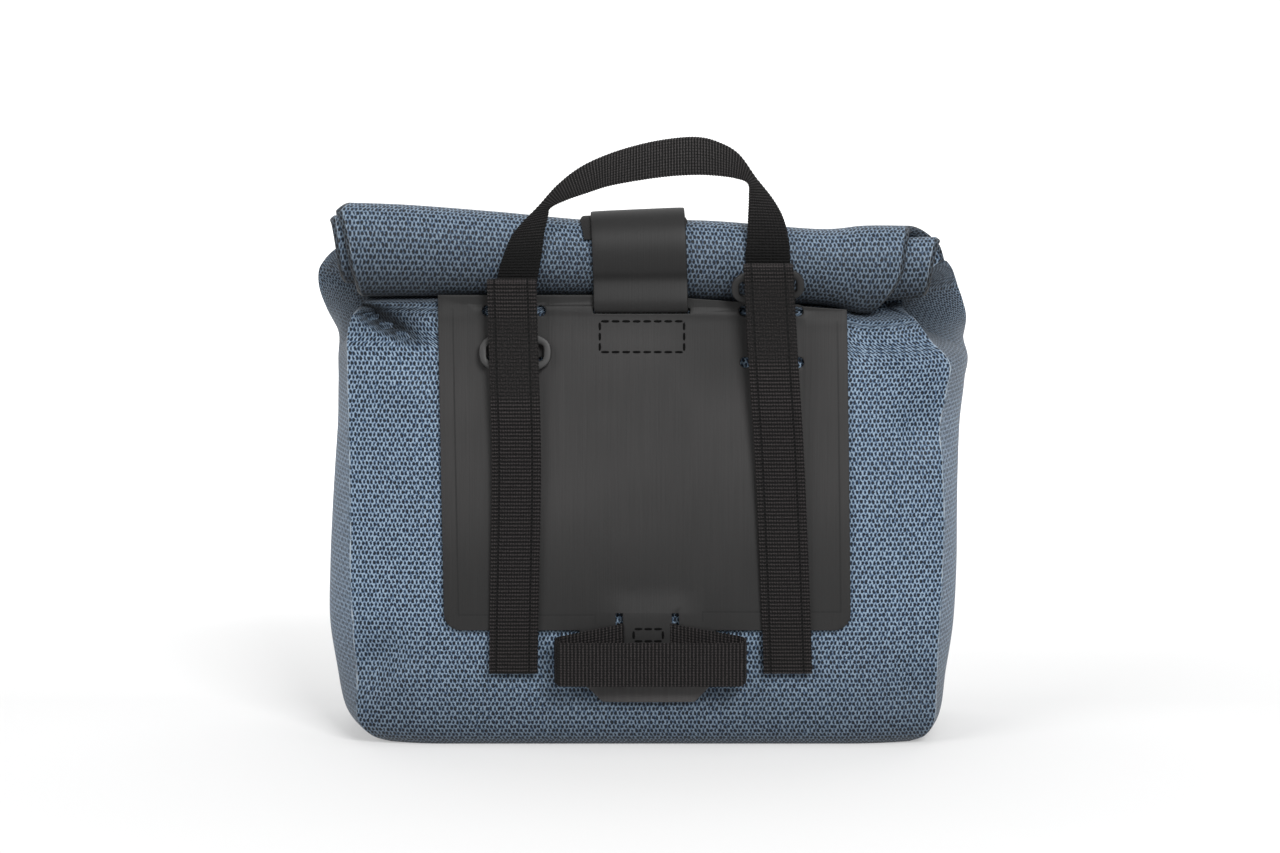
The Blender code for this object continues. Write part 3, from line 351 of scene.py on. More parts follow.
def spline(values, steps):
    """A Catmull-Rom curve through the values, with so many steps from one to the next. Each
    stretch is the cubic that meets its two values and has their neighbours' slopes."""
    ahead = np.concatenate([values[:1], values, values[-1:]])
    whole = np.repeat(np.arange(len(values) - 1), steps)
    t = np.tile(np.arange(steps) / steps, len(values) - 1)
    if values.ndim > 1:
        t = t[:, None]
    p0, p1, p2, p3 = (ahead[whole + offset] for offset in range(4))
    curve = p1 + 0.5 * t * (p2 - p0)
    curve = curve + 0.5 * t**2 * (2 * p0 - 5 * p1 + 4 * p2 - p3)
    curve = curve + 0.5 * t**3 * (3 * p1 - p0 - 3 * p2 + p3)
    return np.concatenate([curve, values[-1:]])


def smooth_run(x, name):
    """A column of RUN at places along the bag: a cubic blend from row to row."""
    share = np.asarray(x) / (BAG_WIDTH / 2)
    places = spline(column(RUN, RUN_COLUMNS, "x"), 8)
    return ROLL_HEIGHT * np.interp(share, places, spline(column(RUN, RUN_COLUMNS, name), 8))


def run_rise(x):
    return smooth_run(x, "rise")


def run_height(x):
    return smooth_run(x, "height")


def under_roll_rise(x):
    """How far the roll's underside stands above its nominal height."""
    return run_rise(x) - (run_height(x) - ROLL_HEIGHT) / 2


def section_values(steps):
    """Each column of SECTIONS as a smooth run of values, in metres where it is a length."""
    scale = {
        "z": BODY_HEIGHT, "far_z": BODY_HEIGHT, "near": BAG_DEPTH, "far": BAG_DEPTH,
        "left_near": BAG_WIDTH / 2, "right_near": BAG_WIDTH / 2,
        "left_far": BAG_WIDTH / 2, "right_far": BAG_WIDTH / 2,
        "left_puff": SIDE_PUFF, "right_puff": SIDE_PUFF, "tuck": TUCK, "follow": 1.0,
    }
    return {
        name: spline(column(SECTIONS, SECTION_COLUMNS, name), steps) * scale[name]
        for name in SECTION_COLUMNS
    }


ROWS = section_values(SECTION_STEPS)


def wall_y(x, z):
    """Depth of the near wall's flat middle at places: the pieces on the panel follow it."""
    upright = ROWS["z"] < BODY_HEIGHT * 0.992  # the rows below the wall's turn into the roll
    heights = ROWS["z"][upright]
    follow = np.interp(z, heights, ROWS["follow"][upright])
    return np.interp(z - follow * under_roll_rise(x), heights, ROWS["near"][upright])


def roll_point(turn, out):
    """Depth and height of points of the roll: turns from its far side over its top, and a
    distance out from the middle of the mouth's two cloths. A wrap is a superellipse that
    draws in by ROLL_PITCH a turn."""
    power = 2 / ROLL_SQUARENESS
    half = CLOTH + MOUTH_SLOT / 2
    angle = 2 * math.pi * np.asarray(turn)
    c, s = np.cos(angle), np.sin(angle)
    draw = half + ROLL_PITCH * (np.asarray(turn) - 0.5) - out
    y = -ROLL_SET_BACK + (ROLL_DEPTH / 2 - draw) * np.sign(c) * np.abs(c) ** power
    z = (ROLL_HEIGHT / 2 - draw) * np.sign(s) * np.abs(s) ** power
    return y, ROLL_MIDDLE + z


def carried_z(z, x):
    """The height that a point of the nominal roll has at a place along the bag."""
    return ROLL_MIDDLE + run_rise(x) + (z - ROLL_MIDDLE) * run_height(x) / ROLL_HEIGHT


def profile_normals(y, z, side):
    """Unit normals of a profile in depth and height, to the bag's inside."""
    dy, dz = np.gradient(y), np.gradient(z)
    length = np.hypot(dy, dz)
    return side * dz / length, -side * dy / length


def dent_height(x, z):
    """How far the near wall's folds and dents move it outwards: a sum of turned bell shapes,
    faded out at the panel's edge."""
    total = np.zeros(np.broadcast(x, z).shape)
    for dent in DENTS:
        row = dict(zip(DENT_COLUMNS, dent))
        turn = math.radians(row["turn"])
        side, up = x / MM - row["x"], z / MM - row["z"]
        along = side * math.cos(turn) + up * math.sin(turn)
        beside = up * math.cos(turn) - side * math.sin(turn)
        bell = (along / row["length"]) ** 2 + (beside / row["breadth"]) ** 2
        total = total + row["height"] * np.exp(-bell)
    edge = np.clip((np.abs(x) - PANEL_WIDTH / 2 - 1 * MM) / (9 * MM), 0, 1)
    return MM * total * edge * edge * (3 - 2 * edge)


def fold_depth(x, z):
    """How far the left shoulder's cloth is moved back: above the fold's line by its depth there,
    reached within FOLD_STEP, half of it fading within FOLD_POCKET and the rest within FOLD_FADE,
    and below the line forward by a small lip."""
    line = spline(np.array(FOLD, dtype=float), 12)
    side, up = x[..., None] / MM - line[:, 0], z[..., None] / MM - line[:, 1]
    distance = np.hypot(side, up)
    nearest = distance.argmin(-1)
    slope = np.gradient(line[:, 1]) / np.gradient(line[:, 0])
    picked = nearest[..., None]
    across = np.take_along_axis((up - slope * side) / np.hypot(1, slope), picked, -1)[..., 0]
    distance = np.take_along_axis(distance, picked, -1)[..., 0]
    distance = np.where((nearest > 0) & (nearest < len(line) - 1), np.abs(across), distance)
    edge = np.clip(distance / FOLD_STEP, 0, 1)
    past = np.maximum(distance - FOLD_STEP, 0)
    pocket = 0.5 * np.exp(-((past / FOLD_FADE) ** 1.5)) + 0.5 * np.exp(-((past / FOLD_POCKET) ** 2))
    back = edge * edge * (3 - 2 * edge) * pocket
    lip = -0.14 * np.exp(-((distance / 4) ** 2))
    under_roll = np.clip((BODY_HEIGHT + 2 * MM - z) / (6 * MM), 0, 1)
    return MM * line[nearest, 2] * np.where(across > 0, back, lip) * under_roll


def wall_shares():
    """Places across a wall from seam to seam, closer together beyond the panel."""
    flat = PANEL_WIDTH / BAG_WIDTH
    margin = np.linspace(flat, 1, MARGIN_POINTS + 1)[1:]
    middle = np.linspace(-flat, flat, FACE_POINTS - 2 * MARGIN_POINTS)
    return np.concatenate([-margin[::-1], middle, margin])[None]


def wall_profiles(turns, inset):
    """Depth and height of the middle of the near and of the far wall, from the base to the
    mouth, moved to the bag's inside by the inset."""
    half = CLOTH + MOUTH_SLOT / 2
    walls = []
    for depth, height, out, side in (("near", "z", -half, 1), ("far", "far_z", half, -1)):
        roll_y, roll_z = roll_point(turns, out)
        y, z = np.append(ROWS[depth], roll_y), np.append(ROWS[height], roll_z)
        normal_y, normal_z = profile_normals(y, z, side)
        y, z = y + inset * normal_y, z + inset * normal_z
        y[0] += side * inset
        z[0] = inset
        walls.append((y, z))
    return walls


def seam_columns(turns):
    """Distances of the four seams from the bag's middle, from the base to the mouth."""
    places = column(WRAPS, WRAP_COLUMNS, "turn")
    seams = {}
    for side in ("left", "right"):
        ends = np.interp(turns, places, column(WRAPS, WRAP_COLUMNS, side))
        for name in (side + "_near", side + "_far"):
            seams[name] = np.append(ROWS[name], ends * BAG_WIDTH / 2)[:, None]
    return seams


def bag_grid(inset):
    """The bag's rings from the base to the mouth as one array of points, each ring from the near
    left seam round to the left gusset again, moved inwards by the inset. Every wall is a blend
    between the near and the far profile, spread to its seams."""
    turns = np.arange(1, int(ROLL_TURNS * WRAP_STEPS) + 1) / WRAP_STEPS
    (near_y, near_z), (far_y, far_z) = wall_profiles(turns, 0.0)
    gap = np.hypot(far_y - near_y, far_z - near_z) / 2
    rest = np.zeros(len(turns))
    tuck = np.append(ROWS["tuck"], rest)
    fold = np.arctan2(gap, tuck)
    seam_inset = (inset / np.tan(fold / 2))[:, None]
    fold_inset = (inset / np.sin(fold))[:, None]
    follow = np.append(ROWS["follow"], rest + 1)[:, None]
    in_roll = (np.arange(len(near_y)) >= len(ROWS["z"]))[:, None]

    flat = PANEL_WIDTH / BAG_WIDTH
    sweep = wall_shares()
    beyond = np.clip((np.abs(sweep) - flat) / (1 - flat), 0, 1)
    seams = seam_columns(turns)
    walls = []
    rises = (under_roll_rise, run_rise)
    for name, rise, (y, z) in zip(("near", "far"), rises, wall_profiles(turns, inset)):
        z = z[:, None]
        end = np.where(sweep < 0, seams["left_" + name], seams["right_" + name])
        x = sweep * BAG_WIDTH / 2 + np.sign(sweep) * beyond * (end - BAG_WIDTH / 2 - seam_inset)
        walls.append((x, y[:, None], np.where(in_roll, carried_z(z, x), z + follow * rise(x))))
    fade = np.where(in_roll, 0, 1 - follow)
    x, y, z = walls[0]
    moved = np.where(in_roll, 0, fold_depth(x, z) - dent_height(x, z))
    near = np.stack([x, y + NEAR_CROWN * fade * beyond**2 + moved, z], 2)
    x, y, z = walls[1]
    far = np.stack([x, y - FAR_CROWN * fade * sweep**2, z], 2)

    across = (np.arange(1, GUSSET_POINTS + 1) / (GUSSET_POINTS + 1))[None]
    inward = (tuck[:, None] + fold_inset - seam_inset) * (1 - np.abs(2 * across - 1))
    gussets = []
    for name, side, first, last in (
        ("right_puff", 1, near[:, -1:], far[:, -1:]),
        ("left_puff", -1, far[:, :1], near[:, :1]),
    ):
        puff = np.append(ROWS[name], rest + CLOTH + MOUTH_SLOT / 2)[:, None]
        gusset = first * (1 - across[..., None]) + last * across[..., None]
        gusset[..., 0] += side * (puff * np.sin(math.pi * across) - inward)
        gussets.append(gusset)
    # The shoulder's fold runs on round the near left seam into the left gusset.
    right, left = gussets
    groove = fold_depth(left[..., 0], left[..., 2]) - across * fold_depth(near[:, :1, 0], near[:, :1, 2])
    groove = np.where(in_roll, 0, np.maximum(groove, 0)) * across
    left[..., :2] += 0.7 * groove[..., None]
    return np.concatenate([near, right, far[:, ::-1], left], 1)


def new_piece(name, mesh, material, replaced):
    """Adds a piece to the scene with its material and body, and hides the node that it replaces."""
    thing = bpy.data.objects.new(name, mesh)
    bpy.context.scene.collection.objects.link(thing)
    mesh.materials.append(material)
    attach(thing, "root")
    if replaced:
        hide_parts(replaced)


def grid_mesh(points, uv, close_around=False, close_along=False, flip=False):
    """Faces and their corners' UV places from a grid of points: rows along, columns around."""
    rows, columns = points.shape[:2]
    across = columns if close_around else columns - 1
    along = rows if close_along else rows - 1
    k, i = np.meshgrid(np.arange(along), np.arange(across), indexing="ij")
    k2, i2 = (k + 1) % rows, (i + 1) % columns
    wide = uv.shape[1]
    quads = np.stack([k * columns + i, k * columns + i2, k2 * columns + i2, k2 * columns + i], -1)
    corners = np.stack([k * wide + i, k * wide + i + 1, (k + 1) * wide + i + 1, (k + 1) * wide + i], -1)
    quads, corners = quads.reshape(-1, 4), corners.reshape(-1, 4)
    if flip:
        quads, corners = quads[:, ::-1], corners[:, ::-1]
    return quads, uv.reshape(-1, 2)[corners.reshape(-1)]


def mesh_from(name, points, quads, corner_uv, caps=(), values=None):
    """A mesh from points, four-cornered faces, their corners' UV places, flat end caps and named
    values of its points."""
    mesh = bpy.data.meshes.new(name)
    faces = [tuple(q) for q in quads.tolist()] + [tuple(cap) for cap in caps]
    mesh.from_pydata(points.reshape(-1, 3).tolist(), [], faces)
    layer = mesh.uv_layers.new(name="UVMap")
    flat = np.zeros((len(mesh.loops), 2))
    flat[: len(corner_uv)] = corner_uv
    layer.data.foreach_set("uv", flat.ravel())
    for key, numbers in (values or {}).items():
        attribute = mesh.attributes.new(key, "FLOAT", "POINT")
        attribute.data.foreach_set("value", numbers.ravel().astype(np.float32))
    mesh.shade_smooth()
    mesh.set_sharp_from_angle(angle=math.radians(60))
    mesh.update()
    return mesh


def hex_colour(text):
    """An sRGB hex value as linear red, green, blue and alpha."""
    values = [int(text[i : i + 2], 16) / 255 for i in (1, 3, 5)]
    return [v / 12.92 if v <= 0.04045 else ((v + 0.055) / 1.055) ** 2.4 for v in values] + [1.0]


def add_node(tree, kind, inputs=None, **settings):
    """Adds a node with its settings, and its inputs as values or as links from other nodes."""
    made = tree.nodes.new(kind)
    for name, value in settings.items():
        setattr(made, name, value)
    for key, value in (inputs or {}).items():
        if isinstance(value, bpy.types.Node):
            value = value.outputs[0]
        if isinstance(value, bpy.types.NodeSocket):
            tree.links.new(value, made.inputs[key])
        else:
            made.inputs[key].default_value = value
    return made


def new_material(name, roughness, **sockets):
    material = bpy.data.materials.new(name)
    material.use_nodes = True
    shader = material.node_tree.nodes["Principled BSDF"]
    shader.inputs["Roughness"].default_value = roughness
    for key, value in sockets.items():
        shader.inputs[key.replace("_", " ")].default_value = value
    return material, material.node_tree, shader


def figure(tree, operation, *values):
    """A math node on values or links."""
    return add_node(tree, "ShaderNodeMath", dict(enumerate(values)), operation=operation)


def ranged(tree, value, start, end, low=0.0, high=1.0, kind="LINEAR"):
    """Runs from low to high while the value runs from start to end."""
    limits = {"From Min": start, "From Max": end, "To Min": low, "To Max": high}
    return add_node(tree, "ShaderNodeMapRange", {"Value": value, **limits}, interpolation_type=kind)


def noise(tree, place, scale, detail=2.0):
    """A noise texture at a place, with so many cells to a unit of the place."""
    return add_node(tree, "ShaderNodeTexNoise", {"Vector": place, "Scale": scale, "Detail": detail})


def tint(colour, share=1.0):
    """A linear colour with its red, green and blue scaled, and alpha 1."""
    return [share * v for v in colour[:3]] + [1.0]


def mixed(tree, share, first, second):
    """A colour between two colours."""
    return add_node(tree, "ShaderNodeMix", {0: share, 6: first, 7: second}, data_type="RGBA").outputs[2]


def scaled(tree, colour, share):
    """A colour darkened or lightened by a share."""
    return add_node(tree, "ShaderNodeVectorMath", {0: colour, "Scale": share}, operation="SCALE").outputs[0]


def join_finish(tree, shader, colour, height, strength, depth):
    """Joins a colour to the shader, and a bump made from a height, with its strength and depth."""
    tree.links.new(colour, shader.inputs["Base Color"])
    bump = add_node(tree, "ShaderNodeBump", {"Strength": strength, "Distance": depth, "Height": height})
    tree.links.new(bump.outputs[0], shader.inputs["Normal"])


def periodic(tree, coordinate, period):
    """A sine wave of a coordinate with its period in the coordinate's own unit."""
    return figure(tree, "SINE", figure(tree, "MULTIPLY", coordinate, 2 * math.pi / period))


def woven_coated_cloth(settings):
    """Coated polyester, woven of light blue over navy threads. The eye sees small dark cells in
    staggered rows between light threads, dull, with a worn pale line along the seams."""
    material, tree, shader = new_material(
        "woven_coated_polyester", 0.6, Sheen_Weight=0.06, Sheen_Roughness=0.5, Specular_IOR_Level=0.25,
    )
    place = add_node(tree, "ShaderNodeUVMap", uv_map="UVMap")
    # Each thread wanders by about half a millimetre. UV places are in millimetres.
    grain = noise(tree, place, 0.9)
    wander = {0: grain.outputs[1], 1: (0.5, 0.5, 0.5)}
    wander = add_node(tree, "ShaderNodeVectorMath", wander, operation="SUBTRACT")
    moved = {0: wander, 1: (1.1, 1.1, 0), 2: place}
    moved = add_node(tree, "ShaderNodeVectorMath", moved, operation="MULTIPLY_ADD")
    across, up, _ = add_node(tree, "ShaderNodeSeparateXYZ", {0: moved}).outputs
    rows = periodic(tree, up, WEAVE_HEIGHT)
    cells = periodic(tree, across, WEAVE_WIDTH / WEAVE_CELLS)
    bars = periodic(tree, across, WEAVE_WIDTH)
    weave = figure(tree, "MULTIPLY", figure(tree, "MULTIPLY_ADD", bars, 0.35, cells), rows)
    # The rows' square keeps the cells apart: light threads join across the borders of the rows.
    joined = figure(tree, "MULTIPLY_ADD", figure(tree, "MULTIPLY", rows, rows), -0.75, weave)
    uneven = figure(tree, "MULTIPLY_ADD", grain.outputs[0], 1.2, joined)
    blue = ranged(tree, uneven, -0.35, 0.25)
    thread = ranged(tree, uneven, 0.2, 0.85, kind="SMOOTHSTEP")
    broad = noise(tree, place, 0.02)
    light = mixed(tree, broad, tint(settings.thread_colour, 0.8), tint(settings.thread_colour))
    under = mixed(tree, blue, tint(settings.gap_colour), tint(settings.cloth_colour))
    colour = mixed(tree, thread, under, light)
    worn = add_node(tree, "ShaderNodeAttribute", attribute_name="crease")
    spots = ranged(tree, noise(tree, place, 0.12, 3.0), 0.42, 0.62, 0.0, 0.7)
    wear = figure(tree, "MULTIPLY", ranged(tree, worn.outputs[2], 0.55, 0.85), spots)
    # The shade attribute darkens the colour with painted shade, and lightens it low on the gussets with
    # painted light.
    shade = add_node(tree, "ShaderNodeAttribute", attribute_name="shade")
    colour = scaled(tree, mixed(tree, wear, colour, hex_colour("#A9B3BC")), shade.outputs[2])
    join_finish(tree, shader, colour, thread, 0.6, 0.4 * MM)
    return material


def cut_rubber_sheet(settings, pressed_lines=()):
    """Calendered synthetic rubber sheet, cut by laser. The eye sees a dull near-black skin with
    a faint upright grain and, where lines are given, a narrow pressed groove along each."""
    material, tree, shader = new_material("calendered_rubber_sheet", 0.58, Specular_IOR_Level=0.3)
    place = add_node(tree, "ShaderNodeTexCoord").outputs["Object"]
    # The grain's lines stand about 0.7 mm apart and run for some 40 mm.
    stretch = add_node(tree, "ShaderNodeMapping", {"Vector": place, "Scale": (1400, 200, 25)})
    grain = noise(tree, stretch, 1.0, 3.0)
    share = ranged(tree, figure(tree, "MULTIPLY_ADD", grain, 0.5, noise(tree, place, 18.0)), 0.5, 1.0)
    plain = mixed(tree, share, tint(settings.sheet_colour, 0.72), tint(settings.sheet_colour, 1.3))
    lines = pressed_share(tree, place, pressed_lines)
    # The pressed grooves are painted darker, as painted shade in them.
    colour = mixed(tree, lines, plain, tint(settings.sheet_colour, 0.45 * 0.72))
    # Painted shade: the skin is painted darker low down above the tab, under the roll, and to the left of
    # each strap, where it casts a shadow. Each row has where the painted shade is full and where it has
    # cleared, in millimetres, and the colour's least share.
    height = add_node(tree, "ShaderNodeSeparateXYZ", {0: place}).outputs[2]
    painted_sheet_shade = 1.0
    for source, full, clear, least in (
        (height, 56, 115, 0.35),
        (height, 187, 168, 0.2),
        (distance_from(tree, place, (31, -45, 168)), 6, 30, 0.5),
        (distance_from(tree, place, (-72, -45, 172)), 4, 26, 0.72),
    ):
        part = ranged(tree, source, full * MM, clear * MM, least, 1.0, "SMOOTHSTEP")
        painted_sheet_shade = figure(tree, "MULTIPLY", painted_sheet_shade, part)
    # The tab, in front of the lower strap, catches more light.
    tab = ranged(tree, height, 46 * MM, 36 * MM, 0.0, 2.9)
    colour = scaled(tree, colour, figure(tree, "MAXIMUM", painted_sheet_shade, tab))
    join_finish(tree, shader, colour, figure(tree, "MULTIPLY_ADD", lines, -2.5, grain), 0.3, 0.2 * MM)
    return material


def distance_from(tree, place, middle):
    """Distance of each point from a place on the object, given in millimetres."""
    inputs = {0: place, 1: tuple(v * MM for v in middle)}
    return add_node(tree, "ShaderNodeVectorMath", inputs, operation="DISTANCE").outputs[1]


def pressed_share(tree, place, lines):
    """1 on the given level or upright lines of a leaning sheet and 0 beside them: each line is
    (x0, z0, x1, z1) in millimetres, as a thin box whose distance is worked out along x and z."""
    parts = add_node(tree, "ShaderNodeSeparateXYZ", {0: place})
    x = figure(tree, "MULTIPLY_ADD", parts.outputs[2], PANEL_LEAN, parts.outputs[0])
    lean = PANEL_LEAN * (PANEL_TOP + PANEL_BOTTOM) / 2
    total = 0.0
    for x0, z0, x1, z1 in np.array(lines) * MM:
        inside = 1.0
        for value, low, high in ((x, x0 + lean, x1 + lean), (parts.outputs[2], z0, z1)):
            away = figure(tree, "ABSOLUTE", figure(tree, "SUBTRACT", value, (low + high) / 2))
            near = figure(tree, "LESS_THAN", away, (high - low) / 2 + PRESSED_LINE / 2)
            inside = figure(tree, "MULTIPLY", inside, near)
        total = figure(tree, "MAXIMUM", total, inside)
    return total


def nylon_webbing(name, colour, painted_crest_light, pitch, sewn=False, painted_top_light=False):
    """Woven nylon webbing. The eye sees dull black ribs across its width, with painted highlights
    on their crests and painted shade between them, and fine threads along it; a sewn strap has
    two lines of stitches along it and a stretch where a fuzzy fastener hides the ribs. UV places
    are in millimetres: across, then along."""
    material, tree, shader = new_material(name, 0.8, Specular_IOR_Level=0.2)
    place = add_node(tree, "ShaderNodeUVMap", uv_map="UVMap")
    across, along, _ = add_node(tree, "ShaderNodeSeparateXYZ", {0: place}).outputs
    # The threads along the band stand 1.1 mm apart, and its ribs by the pitch of its shape.
    rib = periodic(tree, along, pitch / MM)
    both = figure(tree, "MULTIPLY_ADD", periodic(tree, across, 1.1), 0.5, rib)
    if sewn:
        # The fastener lies from 57 to 86 mm along the strap, and the ribs fade over 5 mm.
        fuzzy = figure(tree, "SUBTRACT", ranged(tree, along, 52, 57), ranged(tree, along, 86, 91))
        both = figure(tree, "MULTIPLY", both, figure(tree, "MULTIPLY_ADD", fuzzy, -0.75, 1.0))
        # The lines of stitches lie 7 mm to the left and 6.4 mm to the right of the middle.
        away = figure(tree, "ABSOLUTE", figure(tree, "ADD", across, 0.3))
        line = figure(tree, "COMPARE", away, 6.7, 0.45)
        dash = figure(tree, "MULTIPLY_ADD", periodic(tree, along, 2.6), 0.8, 2.2)
        both = figure(tree, "SUBTRACT", both, figure(tree, "MULTIPLY", line, dash))
    height = figure(tree, "MULTIPLY_ADD", noise(tree, place, 1.8, 3.0), 2.6, both)
    share = ranged(tree, height, 1.15, 2.15)
    # Painted light: the crests of ribs and threads are lifted by the painted crest light as painted
    # highlights, and the gaps are painted near black as shade; the noise is the webbing's own grain.
    shown = mixed(tree, share, tint(hex_colour(colour), 0.1), tint(hex_colour(colour), painted_crest_light))
    if painted_top_light:
        # The handle is painted lighter on its arc, as painted light from above, and painted darkest on its
        # legs, as painted shade.
        painted_light_height = add_node(tree, "ShaderNodeTexCoord").outputs["Object"]
        painted_light_height = add_node(tree, "ShaderNodeSeparateXYZ", {0: painted_light_height}).outputs[2]
        shown = scaled(tree, shown, ranged(tree, painted_light_height, 202 * MM, 248 * MM, 0.12, 3.4))
    join_finish(tree, shader, shown, height, 0.8, 0.3 * MM)
    return material


def twisted_thread():
    """Bonded polyester sewing thread. The eye sees a dull black dash."""
    material, _, shader = new_material("bonded_polyester_thread", 0.9, Specular_IOR_Level=0.1)
    shader.inputs["Base Color"].default_value = hex_colour("#040404")
    return material


def plain_finish(name, colour, roughness, grain_mm, depth):
    """A dull finish with a fine even grain of the given size and depth in millimetres."""
    material, tree, shader = new_material(name, roughness)
    place = add_node(tree, "ShaderNodeTexCoord").outputs["Object"]
    grain = noise(tree, place, 1000 / grain_mm)
    shown = mixed(tree, grain, tint(hex_colour(colour), 0.8), tint(hex_colour(colour), 1.2))
    join_finish(tree, shader, shown, grain, 0.4, depth * MM)
    return material


def panel_runs():
    """The ring's four walls as lists of column numbers: near, right gusset, far, left gusset."""
    f, g = FACE_POINTS, GUSSET_POINTS
    return (
        list(range(f)),
        list(range(f - 1, f + g + 1)),
        list(range(f + g, 2 * f + g)),
        list(range(2 * f + g - 1, 2 * f + 2 * g)) + [0],
    )


def wall_faces(points, flip, shift):
    """Faces and UV places of the four walls: on each, one way is the length along the ring from
    its seam, in millimetres, and the other the length up the wall's middle."""
    columns = points.shape[1]
    quads, places = [], []
    for number, run in enumerate(panel_runs()):
        run = np.array(run)
        wall = points[:, run]
        steps = np.linalg.norm(np.diff(wall, axis=1), axis=2)
        around = np.concatenate([np.zeros((len(wall), 1)), np.cumsum(steps, 1)], 1)
        around = around - around[:, -1:] / 2 + number * 0.4
        middle = wall[:, len(run) // 2]
        climb = np.linalg.norm(np.diff(middle, axis=0), axis=1)
        up = np.concatenate([[0], np.cumsum(climb)])[:, None] + 0 * around
        uv = np.stack([around, up], 2) / MM
        k, i = np.meshgrid(np.arange(len(wall) - 1), np.arange(len(run) - 1), indexing="ij")
        corners = [(k, i), (k, i + 1), (k + 1, i + 1), (k + 1, i)]
        if flip:
            corners = corners[::-1]
        quads.append(np.stack([shift + a * columns + run[b] for a, b in corners], -1).reshape(-1, 4))
        places.append(np.stack([uv[a, b] for a, b in corners], 2).reshape(-1, 2))
    return np.concatenate(quads), np.concatenate(places)


def base_faces(start):
    """Faces that close a ring's lowest section, looking down."""
    right_end = FACE_POINTS - 1
    far_start = right_end + GUSSET_POINTS + 1
    ring = 2 * (FACE_POINTS + GUSSET_POINTS)
    i = np.arange(right_end)
    far = far_start + right_end - i
    strips = start + np.stack([i, far, far - 1, i + 1], 1)
    right = [start + i for i in range(far_start, right_end - 1, -1)]
    left = [start] + [start + i for i in range(ring - 1, far_start + right_end - 1, -1)]
    return [tuple(face) for face in strips.tolist() + [right, left]]


def even_edges(left, right, rib_pitch, steps, closed):
    """Two edges as smooth curves through their points, resampled to even steps of the length of
    the curve midway between them, with those lengths."""
    if closed:
        left, right = (np.concatenate([edge, edge[:1]]) for edge in (left, right))
    coarse = spline((left + right) / 2, 12)
    length = np.concatenate([[0], np.cumsum(np.linalg.norm(np.diff(coarse, axis=0), axis=1))])
    count = max(8, int(round(length[-1] / rib_pitch)) * steps)
    even = np.linspace(0, length[-1], count + 1)
    edges = []
    for edge in (left, right):
        fine = spline(edge, 12)
        edges.append(np.stack([np.interp(even, length, fine[:, axis]) for axis in range(3)], 1))
    if closed:
        edges, even = [edge[:-1] for edge in edges], even[:-1]
    return edges[0], edges[1], even


def carried_band(name, left, right, thickness, rib_pitch, rib_depth, steps, closed=False, ribs=None):
    """A band whose profile, a superellipse that is nearly a flat rectangle, is carried along two
    edges; the ribs lift both faces by a cosine of the length along the band. ribs gives how
    strong they are at lengths, in rows of millimetres and share."""
    left, right, even = even_edges(left, right, rib_pitch, steps, closed)
    middle = (left + right) / 2
    if closed:
        tangent = np.roll(middle, -1, 0) - np.roll(middle, 1, 0)
    else:
        tangent = np.gradient(middle, axis=0)
    across = right - left
    width = np.linalg.norm(across, axis=1)
    across = across / width[:, None]
    normal = np.cross(tangent, across)
    normal = normal / np.linalg.norm(normal, axis=1)[:, None]
    angle = np.linspace(0, 2 * math.pi, BAND_POINTS, endpoint=False)
    side, high = (np.sign(wave) * np.abs(wave) ** BAND_POWER for wave in (np.cos(angle), np.sin(angle)))
    rib = 0.5 + 0.5 * np.cos(2 * math.pi * even / rib_pitch)
    if ribs is not None:
        lengths, shares = np.array(ribs, dtype=float).T
        rib = 1 - (1 - rib) * np.interp(even / MM, lengths, shares)
    serration = (width / 2)[:, None] * side + (rib[:, None] - 0.5) * rib_depth * side
    swell = (thickness / 2 - rib_depth * (1 - rib[:, None])) * high
    points = middle[:, None] + across[:, None] * serration[..., None] + normal[:, None] * swell[..., None]
    uv_across = np.append(side, side[:1]) * width.mean() / 2 / MM
    uv = np.stack(np.broadcast_arrays(uv_across[None], (even / MM)[:, None]), 2)
    if closed:
        uv = np.concatenate([uv, uv[-1:] + [0, (even[1] - even[0]) / MM]])
    quads, places = grid_mesh(points, uv, close_around=True, close_along=closed)
    caps = []
    if not closed:
        first = np.arange(BAND_POINTS)
        caps = [first[::-1].tolist(), (first + (len(points) - 1) * BAND_POINTS).tolist()]
    return mesh_from(name, points, quads, places, caps)


def edges_from(path, x_of):
    """A strap's two edges at both sides of a path in depth and height."""
    y, z = np.array(path).T
    x = x_of(z)
    return [np.stack([x + side * STRAP_WIDTH / 2, y, z], 1) for side in (-1, 1)]


def panel_shift(z):
    """How far the panel's lean moves it to the right at a height."""
    return PANEL_LEAN * ((PANEL_TOP + PANEL_BOTTOM) / 2 - z)


def panel_back_y(x, z):
    """Depth of the panel's back: it lies on the near wall, and bows out over the lower strap."""
    reach = TAB_SLOT_SPREAD
    across = np.clip((reach - np.abs(x)) / (reach - TAB_SLOT_SPREAD / 2), 0, 1)
    high = np.clip((TAB_SLOT_TOP + TAB_CHAMFER - z) / TAB_CHAMFER, 0, 1)
    bow = (LOOP_THICKNESS + 2 * FIT_GAP - PANEL_GAP) * across * high
    return wall_y(x, z) - PANEL_GAP - bow


def panel_front_y(x, z):
    """Depth of the panel's front at places."""
    return panel_back_y(x, z) - PANEL_THICKNESS


def arc(middle, radius, start, end, steps):
    """Points of an arc in two dimensions, angles in degrees."""
    angles = np.radians(np.linspace(start, end, steps + 1))
    circle = np.stack([np.cos(angles), np.sin(angles)], 1)
    return (np.array(middle) + radius * circle).tolist()


def handle_front_y():
    """Depth of the front of the handle's legs, which lie on the roll."""
    return -ROLL_SET_BACK - ROLL_DEPTH / 2 - FIT_GAP - HANDLE_THICKNESS


